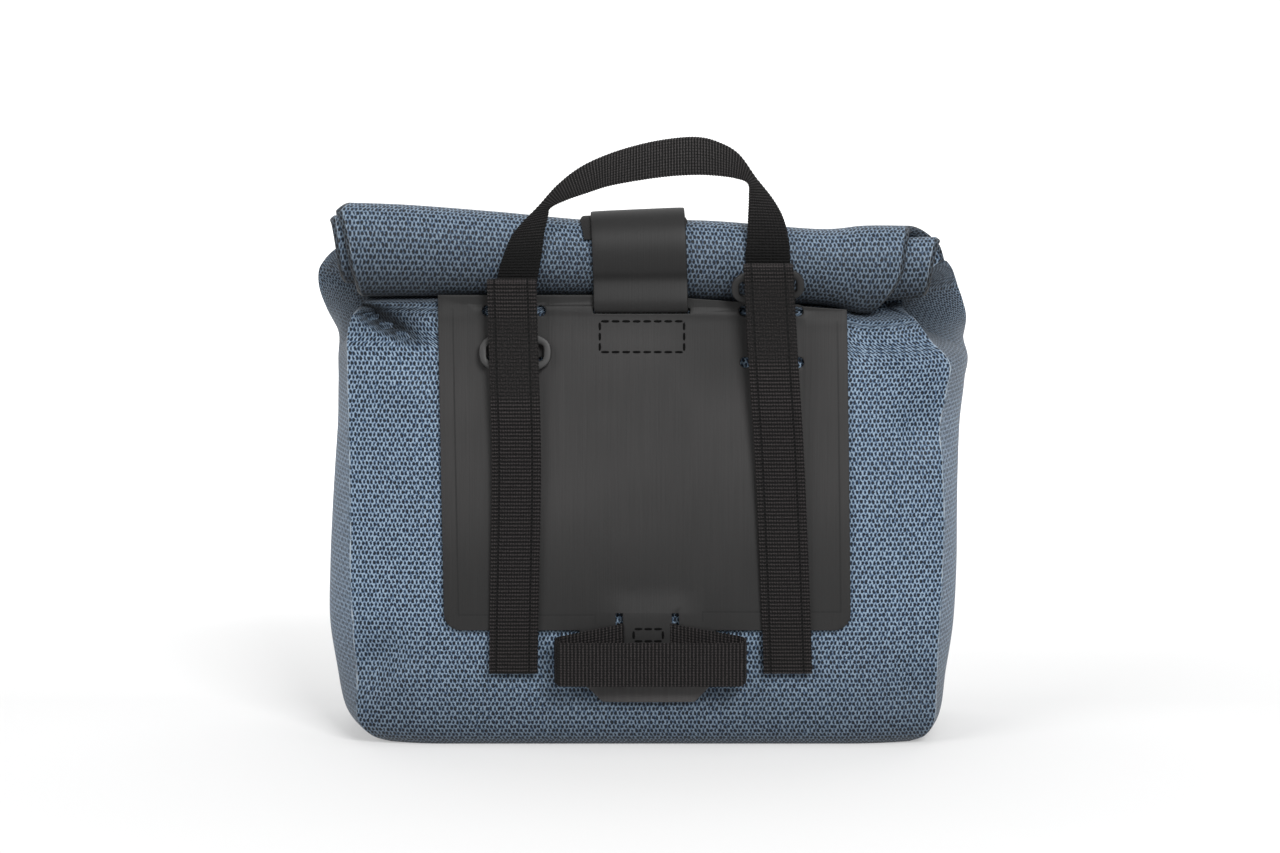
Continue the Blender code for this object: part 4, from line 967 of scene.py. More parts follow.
def strap_x(side, z, fold_z):
    """Middle of a hanging strap at heights: its slot's middle and the drift of DRIFT's rows."""
    name = "left" if side < 0 else "right"
    places, drift = (spline(column(DRIFT, DRIFT_COLUMNS, key), 8) for key in ("z", name))
    return side * SLOT_SPREAD / 2 + np.interp(np.asarray(z) / fold_z, places, drift) * STRAP_WIDTH


def strap_path(side, fold_z, radius, back):
    """Depth and height of a strap's middle: out of its lower slot, up its back ply, over a fold
    and down in front, falling back to the panel by a power of the share of its length."""
    x_slot = side * SLOT_SPREAD / 2
    path = [(float(wall_y(x_slot, LOWER_SLOT_Z)) - PANEL_GAP, LOWER_SLOT_Z)] + back
    path += arc((back[-1][0] - radius, fold_z - radius - STRAP_THICKNESS / 2), radius, 0, 180, 8)
    top_y, top_z = path[-1]
    last_y = float(panel_front_y(PANEL_WIDTH / 2, PANEL_BOTTOM)) - STRAP_THICKNESS
    share = np.linspace(1 / 13, 1, 13)
    y = last_y + (top_y - last_y) * (1 - share) ** STRAP_SLACK
    z = top_z + (STRAP_END_Z - top_z) * share
    return path + np.stack([y, z], 1).tolist()


def colour_property(name, description, colour):
    return FloatVectorProperty(
        name=name, description=description, subtype="COLOR", size=3, min=0, max=1,
        default=hex_colour(colour)[:3],
    )


class PouchSettings(bpy.types.PropertyGroup):
    """Colours and small sizes that a user would change"""

    thread_colour: colour_property("Thread", "Colour of the cloth's light threads", "#7A8C9D")
    cloth_colour: colour_property("Cloth", "Colour of the cloth's blue threads", "#1F3853")
    gap_colour: colour_property("Gap", "Colour between the cloth's threads", "#030A13")
    sheet_colour: colour_property("Sheet", "Colour of the rubber sheet", "#1F1E1E")
    rib_pitch: FloatProperty(
        name="Rib pitch", description="Distance between the ribs of the webbing", unit="LENGTH",
        default=RIB_PITCH, min=0.8 * MM, max=3 * MM,
    )


def cloth_shade(outer):
    """How much of the cloth's colour shows at the outer grid's points, as a share: painted shade
    round the roll's underside and between its wraps, in the shoulder's fold, under the roll and low
    down, and painted light low on the gussets."""
    x, _, z = np.moveaxis(outer, 2, 0)
    # Painted shade: darker over the lowest 58 mm, and the roll's shadow painted on the near wall's top 16
    # mm.
    shade = 0.42 + 0.58 * np.clip(z / (58 * MM), 0, 1) ** 0.8
    near = slice(0, FACE_POINTS)
    shade[:, near] *= 1 - 0.5 * np.clip((z[:, near] / MM - 168) / 16, 0, 1)
    # The shoulder's fold is painted with shade by its depth.
    shade[:, near] *= 1 - 0.85 * np.clip(fold_depth(x[:, near], z[:, near]) / (9 * MM), 0, 1)
    # A gusset is painted lighter low down, as painted light, and painted with shade where it is tucked in
    # between the walls.
    tucked = np.clip(1.3 * ROWS["tuck"] / TUCK, 0, 1)[:, None]
    inward = np.sin(math.pi * np.arange(1, GUSSET_POINTS + 1) / (GUSSET_POINTS + 1))
    left = slice(2 * FACE_POINTS + GUSSET_POINTS, outer.shape[1])
    right = slice(FACE_POINTS, FACE_POINTS + GUSSET_POINTS)
    for gusset in (right, left):
        shade[:, gusset] *= 1.2 - 0.5 * np.clip((z[:, gusset] / MM - 135) / 35, 0, 1)
        shade[: len(tucked), gusset] *= 1 - 0.85 * tucked * inward
    # The shoulder's fold is painted with shade on the left gusset too.
    shade[:, left] *= 1 - 0.6 * np.clip(fold_depth(x[:, left], z[:, left]) / (6 * MM), 0, 1)
    # Round the roll the shade is painted by its turn, and between its wraps at the gussets it is painted
    # darker still.
    in_roll = slice(len(tucked), len(outer))
    turns = np.arange(1, len(outer) - len(tucked) + 1) / WRAP_STEPS
    shade[in_roll] = np.interp(turns % 1, ROLL_SHADE_TURNS, ROLL_SHADE)[:, None]
    for gusset in (right, left):
        shade[in_roll, gusset] *= 0.35
    return np.clip(shade, 0, 1.2)


class POUCH_OT_cloth(bpy.types.Operator):
    """Builds the bag's cloth with its gussets and its rolled mouth"""

    bl_idname = "pouch.cloth"
    bl_label = "Bag cloth"

    def execute(self, context):
        outer = bag_grid(0.0)
        inner = bag_grid(CLOTH)[::-1][::INNER_STEPS][::-1]
        count, ring = outer.shape[:2]
        shift = count * ring
        quads, places = wall_faces(outer, False, 0)
        in_quads, in_places = wall_faces(inner, True, shift)
        points = np.concatenate([outer.reshape(-1, 3), inner.reshape(-1, 3)])
        caps = base_faces(0) + [face[::-1] for face in base_faces(shift)]
        i = np.arange(ring)
        j = (i + 1) % ring
        top, low = (count - 1) * ring, shift + (len(inner) - 1) * ring
        caps += [tuple(f) for f in np.stack([top + i, top + j, low + j, low + i], 1).tolist()]
        crease = np.zeros((len(outer) + len(inner), ring))
        crease[: count, [0, FACE_POINTS - 1]] = 1.0
        far_seams = [FACE_POINTS + GUSSET_POINTS, 2 * FACE_POINTS + GUSSET_POINTS - 1]
        crease[len(ROWS["z"]) : count, far_seams] = 0.9
        # The outer cloth carries painted shade and light, and its inner side is painted at half.
        painted_cloth_shade = np.concatenate([cloth_shade(outer), np.full(inner.shape[:2], 0.5)])
        quads, places = np.concatenate([quads, in_quads]), np.concatenate([places, in_places])
        mesh = mesh_from("bag_cloth", points, quads, places, caps, {"crease": crease, "shade": painted_cloth_shade})
        material = woven_coated_cloth(context.scene.pouch)
        new_piece("bag_cloth", mesh, material, "bag_shell")
        return {"FINISHED"}


def slot_outline(x, z):
    """A strap slot round its middle: a slit with a round eye at each end."""
    half, reach = SLOT_LENGTH / 2 - SLOT_EYE / 2, math.degrees(math.asin(SLOT_HEIGHT / SLOT_EYE))
    right = arc((x + half, z), SLOT_EYE / 2, -180 + reach, 180 - reach, 18)
    return right + arc((x - half, z), SLOT_EYE / 2, reach, 360 - reach, 18)


def panel_outline():
    """The panel's outline, from the middle of its top down its left side and round its tab."""
    half, tab, r = PANEL_WIDTH / 2, TAB_WIDTH / 2, PANEL_CORNER
    points = [(0, PANEL_TOP), (-half, PANEL_TOP)]
    points += arc((-half + r, PANEL_BOTTOM + r), r, 180, 270, 12)
    points += [(-tab, PANEL_BOTTOM), (-tab, TAB_BOTTOM + TAB_CHAMFER)]
    points += [(-tab + TAB_CHAMFER, TAB_BOTTOM), (tab - TAB_CHAMFER, TAB_BOTTOM)]
    points += [(tab, TAB_BOTTOM + TAB_CHAMFER), (tab, PANEL_BOTTOM)]
    points += arc((half - r, PANEL_BOTTOM + r), r, 270, 360, 12)
    return points + [(half, PANEL_TOP - PANEL_SLANT)]


def stitch_places(corners):
    """Middles and directions of the stitches along a line of corners, in metres, from corners in
    millimetres: each straight run holds the whole number of stitches nearest to the pitch."""
    places = []
    for (x0, z0), (x1, z1) in zip(corners[:-1], corners[1:]):
        length = math.hypot(x1 - x0, z1 - z0) * MM
        count = max(1, round(length / STITCH_PITCH))
        share = (np.arange(count) + 0.5) / count
        dx, dz = (x1 - x0) * MM / length, (z1 - z0) * MM / length
        places += [((x0 + s * (x1 - x0)) * MM, (z0 + s * (z1 - z0)) * MM, dx, dz) for s in share]
    return places


def stitch_mesh(name, middles, ways):
    """Stitches as one mesh: a capsule, whose radius falls at both ends by a square root, is
    carried to each middle and turned along its way."""
    along = np.array([-1, -0.9, -0.6, 0.0, 0.6, 0.9, 1])
    radius = STITCH_WIDTH / 2 * np.sqrt(np.clip(1 - np.abs(along) ** 4, 0.02, 1))
    angle = np.linspace(0, 2 * math.pi, 8, endpoint=False)
    ways = ways / np.linalg.norm(ways, axis=1)[:, None]
    beside = np.cross(ways, (0, -1, 0))
    beside = beside / np.linalg.norm(beside, axis=1)[:, None]
    out = np.cross(beside, ways)
    points = middles[:, None, None] + ways[:, None, None] * (STITCH_LENGTH / 2 * along)[:, None, None]
    points = points + beside[:, None, None] * (radius[:, None] * np.cos(angle))[None, ..., None]
    points = points + out[:, None, None] * (0.7 * radius[:, None] * np.sin(angle))[None, ..., None]
    uv = np.zeros((len(along), len(angle) + 1, 2))
    quads, corners = grid_mesh(points[0], uv, close_around=True)
    step = len(along) * len(angle)
    shifts = np.arange(len(middles)) * step
    faces = (quads[None] + shifts[:, None, None]).reshape(-1, 4)
    first, last = list(range(8))[::-1], list(range(step - 8, step))
    caps = [[s + i for i in cap] for s in shifts.tolist() for cap in (first, last)]
    return mesh_from(name, points, faces, np.tile(corners, (len(middles), 1)), caps)


def box_outline(x0, z0, x1, z1):
    """A rectangle between two of its corners."""
    return [(x0, z0), (x1, z0), (x1, z1), (x0, z1)]


def panel_outlines():
    """The panel's outline, its four strap slots, the tab's two slots and the closing tab's slit."""
    outlines = [panel_outline()]
    for side in (-1, 1):
        outlines += [slot_outline(side * SLOT_SPREAD / 2, z) for z in (UPPER_SLOT_Z, LOWER_SLOT_Z)]
        x, w = side * TAB_SLOT_SPREAD / 2, TAB_SLOT_WIDTH / 2
        outlines.append(box_outline(x - w, TAB_SLOT_BOTTOM, x + w, TAB_SLOT_TOP))
    half, high = FLAP_WIDTH / 2 + FIT_GAP, FLAP_THICKNESS / 2 + FIT_GAP
    slit = box_outline(FLAP_SHIFT - half, FLAP_SLIT_Z - high, FLAP_SHIFT + half, FLAP_SLIT_Z + high)
    return outlines + [slit]


def flat_plate(context, outlines):
    """A flat plate with holes and rounded edges, its outline in x and y, filled by a curve and
    then cut by level and upright planes, so that it can follow the wall."""
    curve = bpy.data.curves.new("panel_outline", "CURVE")
    curve.dimensions = "2D"
    curve.fill_mode = "BOTH"
    curve.extrude = PANEL_THICKNESS / 2 - EDGE_ROUNDING
    curve.bevel_depth = EDGE_ROUNDING
    curve.bevel_resolution = 1
    curve.offset = -EDGE_ROUNDING
    for outline in outlines:
        line = curve.splines.new("POLY")
        line.points.add(len(outline) - 1)
        line.points.foreach_set("co", np.array([(x, z, 0, 1) for x, z in outline]).ravel())
        line.use_cyclic_u = True
    helper = bpy.data.objects.new("panel_outline", curve)
    context.scene.collection.objects.link(helper)
    mesh = bpy.data.meshes.new_from_object(helper.evaluated_get(context.evaluated_depsgraph_get()))
    bpy.data.objects.remove(helper, do_unlink=True)
    shape = bmesh.new()
    shape.from_mesh(mesh)
    bmesh.ops.remove_doubles(shape, verts=shape.verts, dist=1e-6)
    # The cuts stand 3 mm apart, across and up.
    for axis, first, last in ((0, -81, 82), (1, 21, 187)):
        normal = tuple(1.0 if i == axis else 0.0 for i in range(3))
        for place in np.arange(first, last, 3):
            middle = tuple(place * MM * n for n in normal)
            everything = shape.verts[:] + shape.edges[:] + shape.faces[:]
            bmesh.ops.bisect_plane(shape, geom=everything, dist=1e-7, plane_co=middle, plane_no=normal)
    bmesh.ops.recalc_face_normals(shape, faces=shape.faces)
    shape.to_mesh(mesh)
    shape.free()
    return mesh


class POUCH_OT_panel(bpy.types.Operator):
    """Builds the mounting panel with its slots, slit and lower tab, and its stitches"""

    bl_idname = "pouch.panel"
    bl_label = "Mounting panel"

    def execute(self, context):
        mesh = flat_plate(context, panel_outlines())
        flat = np.empty(len(mesh.vertices) * 3)
        mesh.vertices.foreach_get("co", flat)
        x, z, out = flat.reshape(-1, 3).T
        y = panel_back_y(x, z) - PANEL_THICKNESS / 2 - out
        mesh.vertices.foreach_set("co", np.stack([x + panel_shift(z), y, z], 1).ravel())
        mesh.name = "panel_sheet"
        mesh.shade_smooth()
        mesh.set_sharp_from_angle(angle=math.radians(40))
        mesh.materials.clear()
        material = cut_rubber_sheet(context.scene.pouch, PRESSED_LINES)
        new_piece("panel_sheet", mesh, material, "back_panel")
        x, z, dx, dz = np.concatenate([stitch_places(corners) for corners in STITCHED_BOXES]).T
        middles = np.stack([x, panel_front_y(x, z) - STITCH_RAISE, z], 1)
        mesh = stitch_mesh("panel_stitches", middles, np.stack([dx, 0 * dx, dz], 1))
        new_piece("panel_stitches", mesh, twisted_thread(), None)
        return {"FINISHED"}


class POUCH_OT_closing_tab(bpy.types.Operator):
    """Builds the closing tab that goes over the roll"""

    bl_idname = "pouch.closing_tab"
    bl_label = "Closing tab"

    def execute(self, context):
        front = -ROLL_SET_BACK - ROLL_DEPTH / 2 - FLAP_THICKNESS / 2 - FIT_GAP
        path = [
            (float(wall_y(0.0, FLAP_SLIT_Z)) - PANEL_GAP, FLAP_SLIT_Z),
            (float(panel_front_y(0.0, FLAP_SLIT_Z)) - FIT_GAP, FLAP_SLIT_Z),
            (front, FLAP_SLIT_Z + 3 * FLAP_THICKNESS),
        ]
        base = CLOTH + MOUTH_SLOT / 2 + FLAP_THICKNESS / 2
        turns = np.linspace(FLAP_FIRST_TURN, FLAP_LAST_TURN, 14)
        over = np.sin(math.pi * np.minimum(1, (FLAP_FIRST_TURN - turns) / FLAP_LIFT) / 2)
        y, z = roll_point(turns, base + FIT_GAP + FLAP_STANDOFF * over)
        path += np.stack([y, carried_z(z, 0.0)], 1).tolist()
        last_y, last_z = path[-1]
        slope = ROWS["far_z"] > BODY_HEIGHT * 0.8
        for share in (0.25, 0.5, 0.75, 1.0):
            y = last_y + (FLAP_REACH - last_y) * share
            wall = np.interp(-y, -ROWS["far"][slope], ROWS["far_z"][slope]) + run_rise(0.0)
            path.append((y, min(float(wall) + FLAP_STANDOFF + FLAP_LEAN, last_z)))
        y, z = np.array(path).T
        lean = FLAP_LEAN * np.minimum(1, 2 * np.arange(len(path)) / len(path))
        middle = panel_shift(FLAP_SLIT_Z) + FLAP_SHIFT - lean
        left = np.stack([middle - FLAP_WIDTH / 2, y, z - lean / 2], 1)
        right = np.stack([middle + FLAP_WIDTH / 2, y, z + lean / 2], 1)
        mesh = carried_band("closing_tab", left, right, FLAP_THICKNESS, 2 * MM, 0.0, 2)
        new_piece("closing_tab", mesh, cut_rubber_sheet(context.scene.pouch), "closure_flap")
        return {"FINISHED"}


class POUCH_OT_loop_patch(bpy.types.Operator):
    """Builds the fuzzy patch under the closing tab"""

    bl_idname = "pouch.loop_patch"
    bl_label = "Loop patch"

    def execute(self, context):
        out = CLOTH + MOUTH_SLOT / 2 + PATCH_THICKNESS / 2 + PATCH_GAP
        share = np.linspace(0, 1, 13)
        y, z = roll_point(PATCH_TURNS[0] + (PATCH_TURNS[1] - PATCH_TURNS[0]) * share, out)
        ease = PATCH_EASE * np.abs(2 * share - 1)
        edges = []
        for side in (-1, 1):
            x = side * (PATCH_WIDTH / 2 - ease) - PATCH_SHIFT
            edges.append(np.stack([x, y, carried_z(z, x)], 1))
        mesh = carried_band("fuzzy_patch", edges[0], edges[1], PATCH_THICKNESS, 1 * MM, 0.0, 2)
        material = plain_finish("knitted_loop_pile", "#0B0A0A", 0.95, 0.8, 0.6)
        new_piece("fuzzy_patch", mesh, material, "loop_patch")
        return {"FINISHED"}


class POUCH_OT_handle(bpy.types.Operator):
    """Builds the webbing handle"""

    bl_idname = "pouch.handle"
    bl_label = "Carrying handle"

    def execute(self, context):
        top = ROLL_MIDDLE + ROLL_HEIGHT / 2
        front = handle_front_y() + HANDLE_THICKNESS / 2
        edges = {}
        for side in ("out", "in"):
            x = column(HANDLE, HANDLE_COLUMNS, side + "_x") * HANDLE_SPAN / 2
            y = front + column(HANDLE, HANDLE_COLUMNS, side + "_y") * ROLL_DEPTH
            z = top + column(HANDLE, HANDLE_COLUMNS, side + "_z") * HANDLE_RISE
            edges[side] = np.stack([x, y, z], 1)
        half = (edges["in"][0][0] - edges["out"][0][0]) / 2
        ends = []
        for sign in (-1, 1):
            middle = sign * SLOT_SPREAD / 2
            z = UPPER_SLOT_Z + np.array([0, 0, 2, 6]) * HANDLE_THICKNESS
            y = np.array([
                float(wall_y(middle, UPPER_SLOT_Z)) - PANEL_GAP,
                float(panel_front_y(middle, UPPER_SLOT_Z)) - FIT_GAP, front, front,
            ])
            ends.append([np.stack([0 * y + middle + sign * s * half, y, z], 1) for s in (1, -1)])
        outs = np.concatenate([ends[0][0], edges["out"], ends[1][0][::-1]])
        ins = np.concatenate([ends[0][1], edges["in"], ends[1][1][::-1]])
        # The handle is finer webbing than the straps.
        pitch = 0.8 * context.scene.pouch.rib_pitch
        mesh = carried_band("carrying_handle", outs, ins, HANDLE_THICKNESS, pitch, HANDLE_RIB, RIB_STEPS)
        material = nylon_webbing("woven_nylon_webbing", "#100F0F", 2.2, pitch, painted_top_light=True)
        new_piece("carrying_handle", mesh, material, "handle")
        return {"FINISHED"}


def hang_strap(context, side, fold_z, radius, back, ribs, material):
    """Builds one mounting strap along its path, from the slot at a side, and adds its piece."""
    word = "left" if side < 0 else "right"
    path = strap_path(side, fold_z, radius, back)
    left, right = edges_from(path, lambda z: strap_x(side, z, fold_z))
    pitch = context.scene.pouch.rib_pitch
    name = word + "_strap"
    mesh = carried_band(name, left, right, STRAP_THICKNESS, pitch, STRAP_RIB, RIB_STEPS, ribs=ribs)
    new_piece(name, mesh, material, "strap_" + word)


class POUCH_OT_straps(bpy.types.Operator):
    """Builds the two hanging mounting straps"""

    bl_idname = "pouch.straps"
    bl_label = "Mounting straps"

    def execute(self, context):
        pitch = context.scene.pouch.rib_pitch
        material = nylon_webbing("woven_hook_and_loop_strap", "#131111", 4.0, pitch, sewn=True)
        over_handle = handle_front_y() - FIT_GAP - STRAP_THICKNESS / 2
        low = float(panel_front_y(SLOT_SPREAD / 2, LOWER_SLOT_Z)) - FIT_GAP - STRAP_THICKNESS / 2
        out_of_slot = [(low + STRAP_THICKNESS / 2, LOWER_SLOT_Z), (low, LOWER_SLOT_Z + STRAP_THICKNESS)]
        (_, _, ring_z), _, over_ring = left_ring_place()
        back = out_of_slot + [
            (low, ring_z - RING_HOLE_HEIGHT / 4),
            (over_ring, ring_z + RING_HOLE_HEIGHT / 2),
            (over_ring, ring_z + RING_HEIGHT / 2),
            (over_handle, UPPER_SLOT_Z + 5 * HANDLE_THICKNESS),
            (over_handle, LEFT_FOLD_Z - LEFT_FOLD_RADIUS - STRAP_THICKNESS),
        ]
        hang_strap(context, -1, LEFT_FOLD_Z, LEFT_FOLD_RADIUS, back, LEFT_RIBS, material)

        middle, ring_z, radius = right_ring_place()
        back = out_of_slot + [
            (low, LOWER_SLOT_Z + 4 * STRAP_THICKNESS),
            (middle, ring_z - RING_HEIGHT / 2),
            (middle, RIGHT_FOLD_Z - radius - STRAP_THICKNESS),
        ]
        hang_strap(context, 1, RIGHT_FOLD_Z, radius, back, RIGHT_RIBS, material)
        return {"FINISHED"}


def left_ring_place():
    """Place and tilt of the left ring, which leans on the panel, and the depth of the strap over
    its upper bar."""
    on_panel = float(panel_front_y(-SLOT_SPREAD / 2, LOWER_SLOT_Z))
    tilt = (STRAP_THICKNESS + FIT_GAP) / ((RING_HEIGHT + RING_HOLE_HEIGHT) / 2)
    middle = on_panel - FIT_GAP - RING_THICKNESS / 2 - RING_HEIGHT / 2 * tilt
    z = LOWER_SLOT_Z + RING_RAISE
    on_bar = middle + RING_HOLE_HEIGHT / 2 * tilt - RING_THICKNESS / 2
    place = (float(strap_x(-1, z, LEFT_FOLD_Z)) + FIT_GAP, middle, z)
    return place, -math.degrees(math.asin(tilt)), on_bar - FIT_GAP - STRAP_THICKNESS / 2


def right_ring_place():
    """Depth and height of the right ring's middle, and the radius of the fold that holds it."""
    lean = math.radians(RING_LEAN)
    bar = (RING_HEIGHT - RING_HOLE_HEIGHT) / 2
    bar_reach = (RING_HOLE_HEIGHT + bar) / 2 * math.sin(lean)
    bar_half = (RING_THICKNESS * math.cos(lean) + bar * math.sin(lean)) / 2
    middle = handle_front_y() - FIT_GAP - bar_reach - bar_half
    radius = (bar_reach + bar_half + FIT_GAP + STRAP_THICKNESS / 2) / 2
    bar_top = (RING_HEIGHT * math.cos(lean) + RING_THICKNESS * math.sin(lean)) / 2
    return middle, RIGHT_FOLD_Z - STRAP_THICKNESS - FIT_GAP - bar_top, radius


def superellipse(angle, width, height, squareness):
    """Points of a superellipse: cosine and sine to the power of 2 over its squareness."""
    c, s = np.cos(angle), np.sin(angle)
    power = 2 / squareness
    return width / 2 * np.sign(c) * np.abs(c) ** power, height / 2 * np.sign(s) * np.abs(s) ** power


def ring_mesh(name, place, lean, roll):
    """A flat oval ring: its profile, a rounded rectangle between the hole's and the outer
    superellipse, is carried round by one angle, then leaned, rolled and put in its place."""
    angle = np.linspace(0, 2 * math.pi, 96, endpoint=False)
    hole = np.stack(superellipse(angle, RING_HOLE_WIDTH, RING_HOLE_HEIGHT, 5.0), 1)
    rim = np.stack(superellipse(angle, RING_WIDTH, RING_HEIGHT, RING_SQUARENESS), 1)
    turn = np.linspace(0, 2 * math.pi, 16, endpoint=False)
    share, deep = superellipse(turn, 1, RING_THICKNESS, 4)
    share = (0.5 + share)[None, :, None]
    flat = hole[:, None] * (1 - share) + rim[:, None] * share
    points = np.stack([flat[..., 0], np.broadcast_to(deep, flat.shape[:2]), flat[..., 1]], 2)
    a, b = math.radians(lean), math.radians(roll)
    tilt = np.array([[1, 0, 0], [0, math.cos(a), -math.sin(a)], [0, math.sin(a), math.cos(a)]])
    spin = np.array([[math.cos(b), 0, -math.sin(b)], [0, 1, 0], [math.sin(b), 0, math.cos(b)]])
    points = points @ (spin @ tilt).T + np.array(place)
    uv = np.zeros((len(angle) + 1, len(turn) + 1, 2))
    quads, places = grid_mesh(points, uv, close_around=True, close_along=True, flip=True)
    return mesh_from(name, points, quads, places)


class POUCH_OT_rings(bpy.types.Operator):
    """Builds the two oval plastic rings"""

    bl_idname = "pouch.rings"
    bl_label = "Rings"

    def execute(self, context):
        material = plain_finish("moulded_black_nylon", "#100F0F", 0.55, 0.4, 0.03)
        place, tilt, _ = left_ring_place()
        new_piece("left_ring", ring_mesh("left_ring", place, tilt, 0), material, "ring_left")
        middle, ring_z, _ = right_ring_place()
        place = (float(strap_x(1, ring_z, RIGHT_FOLD_Z)) - FIT_GAP, middle, ring_z)
        mesh = ring_mesh("right_ring", place, RING_LEAN, RING_ROLL)
        new_piece("right_ring", mesh, material, "ring_right")
        return {"FINISHED"}


class POUCH_OT_lower_strap(bpy.types.Operator):
    """Builds the lower strap, a flattened loop through the tab's slots"""

    bl_idname = "pouch.lower_strap"
    bl_label = "Lower strap"

    def execute(self, context):
        middle_z = (TAB_SLOT_BOTTOM + TAB_SLOT_TOP + LOOP_DROOP / 2) / 2
        slot = TAB_SLOT_SPREAD / 2
        skew = (TAB_SLOT_WIDTH - LOOP_THICKNESS) / 8
        back = float(wall_y(0.0, middle_z)) - FIT_GAP - LOOP_THICKNESS / 2
        near = float(panel_front_y(slot, middle_z)) - FIT_GAP - LOOP_THICKNESS / 2
        turn = LOOP_DEPTH / 2
        shift = panel_shift(middle_z)
        halves = []
        for end in (LOOP_RIGHT - shift, LOOP_LEFT + shift):
            half = end - turn
            rows = [(slot - skew, back, 0), (slot + skew, near, 0), (half, near, LOOP_END_DROOP)]
            angle = np.linspace(0.5, math.pi, 6)
            fall = LOOP_END_DROOP + (1 - LOOP_END_DROOP) * angle / math.pi
            bend = np.stack([half + turn * np.sin(angle), near - turn + turn * np.cos(angle), fall], 1)
            halves.append(np.concatenate([rows, bend]))
        mirrored = halves[1][::-1] * [-1, 1, 1]
        x, y, fall = np.concatenate([halves[0], [(0, near - LOOP_DEPTH, 1)], mirrored]).T
        z = middle_z - LOOP_DROOP * fall
        low = np.stack([x + shift, y, z - LOOP_BAND / 2], 1)
        high = np.stack([x + shift, y, z + LOOP_BAND / 2], 1)
        pitch = context.scene.pouch.rib_pitch
        ribs = (pitch, LOOP_RIB, RIB_STEPS)
        mesh = carried_band("lower_strap", low, high, LOOP_THICKNESS, *ribs, closed=True)
        material = nylon_webbing("woven_lower_strap", "#121010", 3.9, pitch)
        new_piece("lower_strap", mesh, material, "bottom_strap")
        return {"FINISHED"}


def matt_paper():
    """Seamless white paper. The eye sees an even white that glows a little, more at the back."""
    material, tree, shader = new_material("matt_white_paper", 0.9)
    shader.inputs["Base Color"].default_value = hex_colour("#A8A8A8")
    shader.inputs["Emission Color"].default_value = (1.0, 1.0, 1.0, 1.0)
    place = add_node(tree, "ShaderNodeTexCoord").outputs["Object"]
    depth = add_node(tree, "ShaderNodeSeparateXYZ", {0: place}).outputs[1]
    near, far = ranged(tree, depth, -0.9, 0.0, 0.3, 0.36), ranged(tree, depth, 0.05, 0.9, 0.0, 0.65)
    tree.links.new(figure(tree, "ADD", near, far).outputs[0], shader.inputs["Emission Strength"])
    return material


def studio_floor():
    """The floor runs back and curves up into a wall: a quarter circle joins two flats."""
    turn = np.radians(np.linspace(-90, 0, 24))
    bend = np.stack([2.0 + 1.2 * np.cos(turn), 1.2 + 1.2 * np.sin(turn)], 1)
    profile = np.concatenate([[[-4.0, 0.0]], bend, [[3.2, 6.0]]])
    x = np.linspace(-6, 6, 9)
    points = np.stack(np.broadcast_arrays(x[None], profile[:, :1], profile[:, 1:]), 2)
    quads, places = grid_mesh(points, np.zeros((len(profile), len(x), 2)))
    mesh = mesh_from("studio_floor", points, quads, places)
    mesh.materials.append(matt_paper())
    return bpy.data.objects.new("studio_floor", mesh)


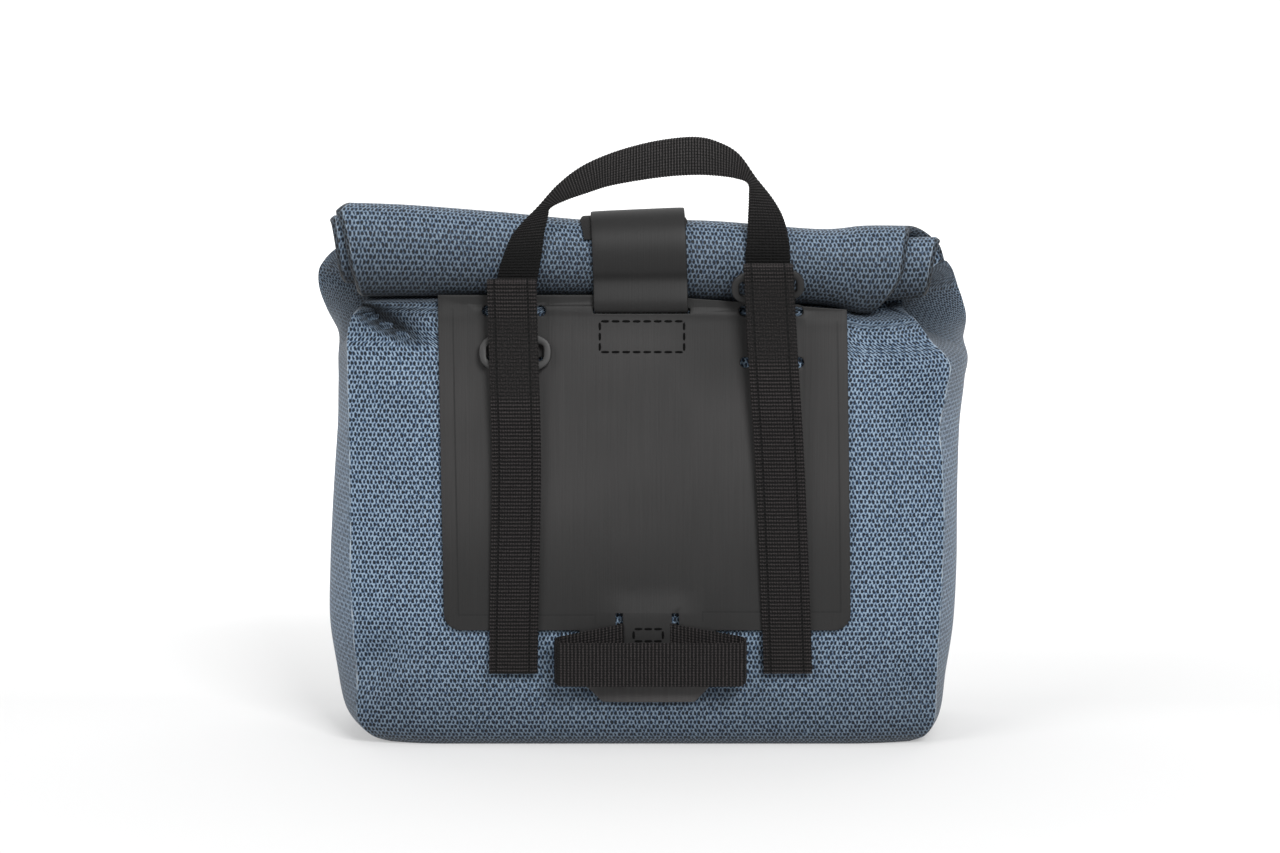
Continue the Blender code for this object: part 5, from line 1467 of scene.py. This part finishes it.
class POUCH_OT_stage(bpy.types.Operator):
    """Builds the floor, the lights and the camera"""

    bl_idname = "pouch.stage"
    bl_label = "Stage"

    def execute(self, context):
        floor = studio_floor()
        context.scene.collection.objects.link(floor)

        world = bpy.data.worlds.new("studio_light")
        world.use_nodes = True
        background = world.node_tree.nodes["Background"]
        background.inputs["Color"].default_value = (1.0, 1.0, 1.0, 1.0)
        background.inputs["Strength"].default_value = 0.2
        context.scene.world = world
        for name, place, size, power in LAMPS:
            lamp = bpy.data.lights.new(name, "AREA")
            lamp.size = size
            lamp.energy = power
            thing = bpy.data.objects.new(name, lamp)
            thing.location = place
            aim = Vector(LAMP_TARGET) - Vector(place)
            thing.rotation_euler = aim.to_track_quat("-Z", "Y").to_euler()
            context.scene.collection.objects.link(thing)
        context.scene.view_settings.view_transform = "Standard"

        lens = bpy.data.cameras.new("photo_camera")
        lens.lens = CAMERA_LENS
        lens.sensor_width = 36
        camera = bpy.data.objects.new("photo_camera", lens)
        elevation = math.radians(CAMERA_ELEVATION)
        back = Vector((0, -math.cos(elevation), math.sin(elevation)))
        camera.location = Vector(CAMERA_TARGET) + CAMERA_DISTANCE * back
        camera.rotation_euler = (math.radians(90) - elevation, 0, 0)
        context.scene.collection.objects.link(camera)
        context.scene.camera = camera
        return {"FINISHED"}


class POUCH_PT_panel(bpy.types.Panel):
    """Lists the pouch's pieces"""

    bl_idname = "POUCH_PT_panel"
    bl_label = "Bicycle Pouch"
    bl_space_type = "VIEW_3D"
    bl_region_type = "UI"
    bl_category = "Pouch"

    def draw(self, context):
        settings = context.scene.pouch
        for name in ("thread_colour", "cloth_colour", "gap_colour", "sheet_colour", "rib_pitch"):
            self.layout.prop(settings, name)
        for operator in OPERATORS:
            self.layout.operator(operator.bl_idname)


OPERATORS = (
    POUCH_OT_cloth,
    POUCH_OT_panel,
    POUCH_OT_closing_tab,
    POUCH_OT_loop_patch,
    POUCH_OT_handle,
    POUCH_OT_straps,
    POUCH_OT_rings,
    POUCH_OT_lower_strap,
    POUCH_OT_stage,
)
CLASSES = (PouchSettings,) + OPERATORS + (POUCH_PT_panel,)


def register():
    for each in CLASSES:
        bpy.utils.register_class(each)
    bpy.types.Scene.pouch = PointerProperty(type=PouchSettings)


def unregister():
    del bpy.types.Scene.pouch
    for each in reversed(CLASSES):
        bpy.utils.unregister_class(each)


def main():
    register()
    bpy.ops.pouch.cloth()
    bpy.ops.pouch.panel()
    bpy.ops.pouch.closing_tab()
    bpy.ops.pouch.loop_patch()
    bpy.ops.pouch.handle()
    bpy.ops.pouch.straps()
    bpy.ops.pouch.rings()
    bpy.ops.pouch.lower_strap()
    bpy.ops.pouch.stage()


if __name__ == "__main__":
    main()
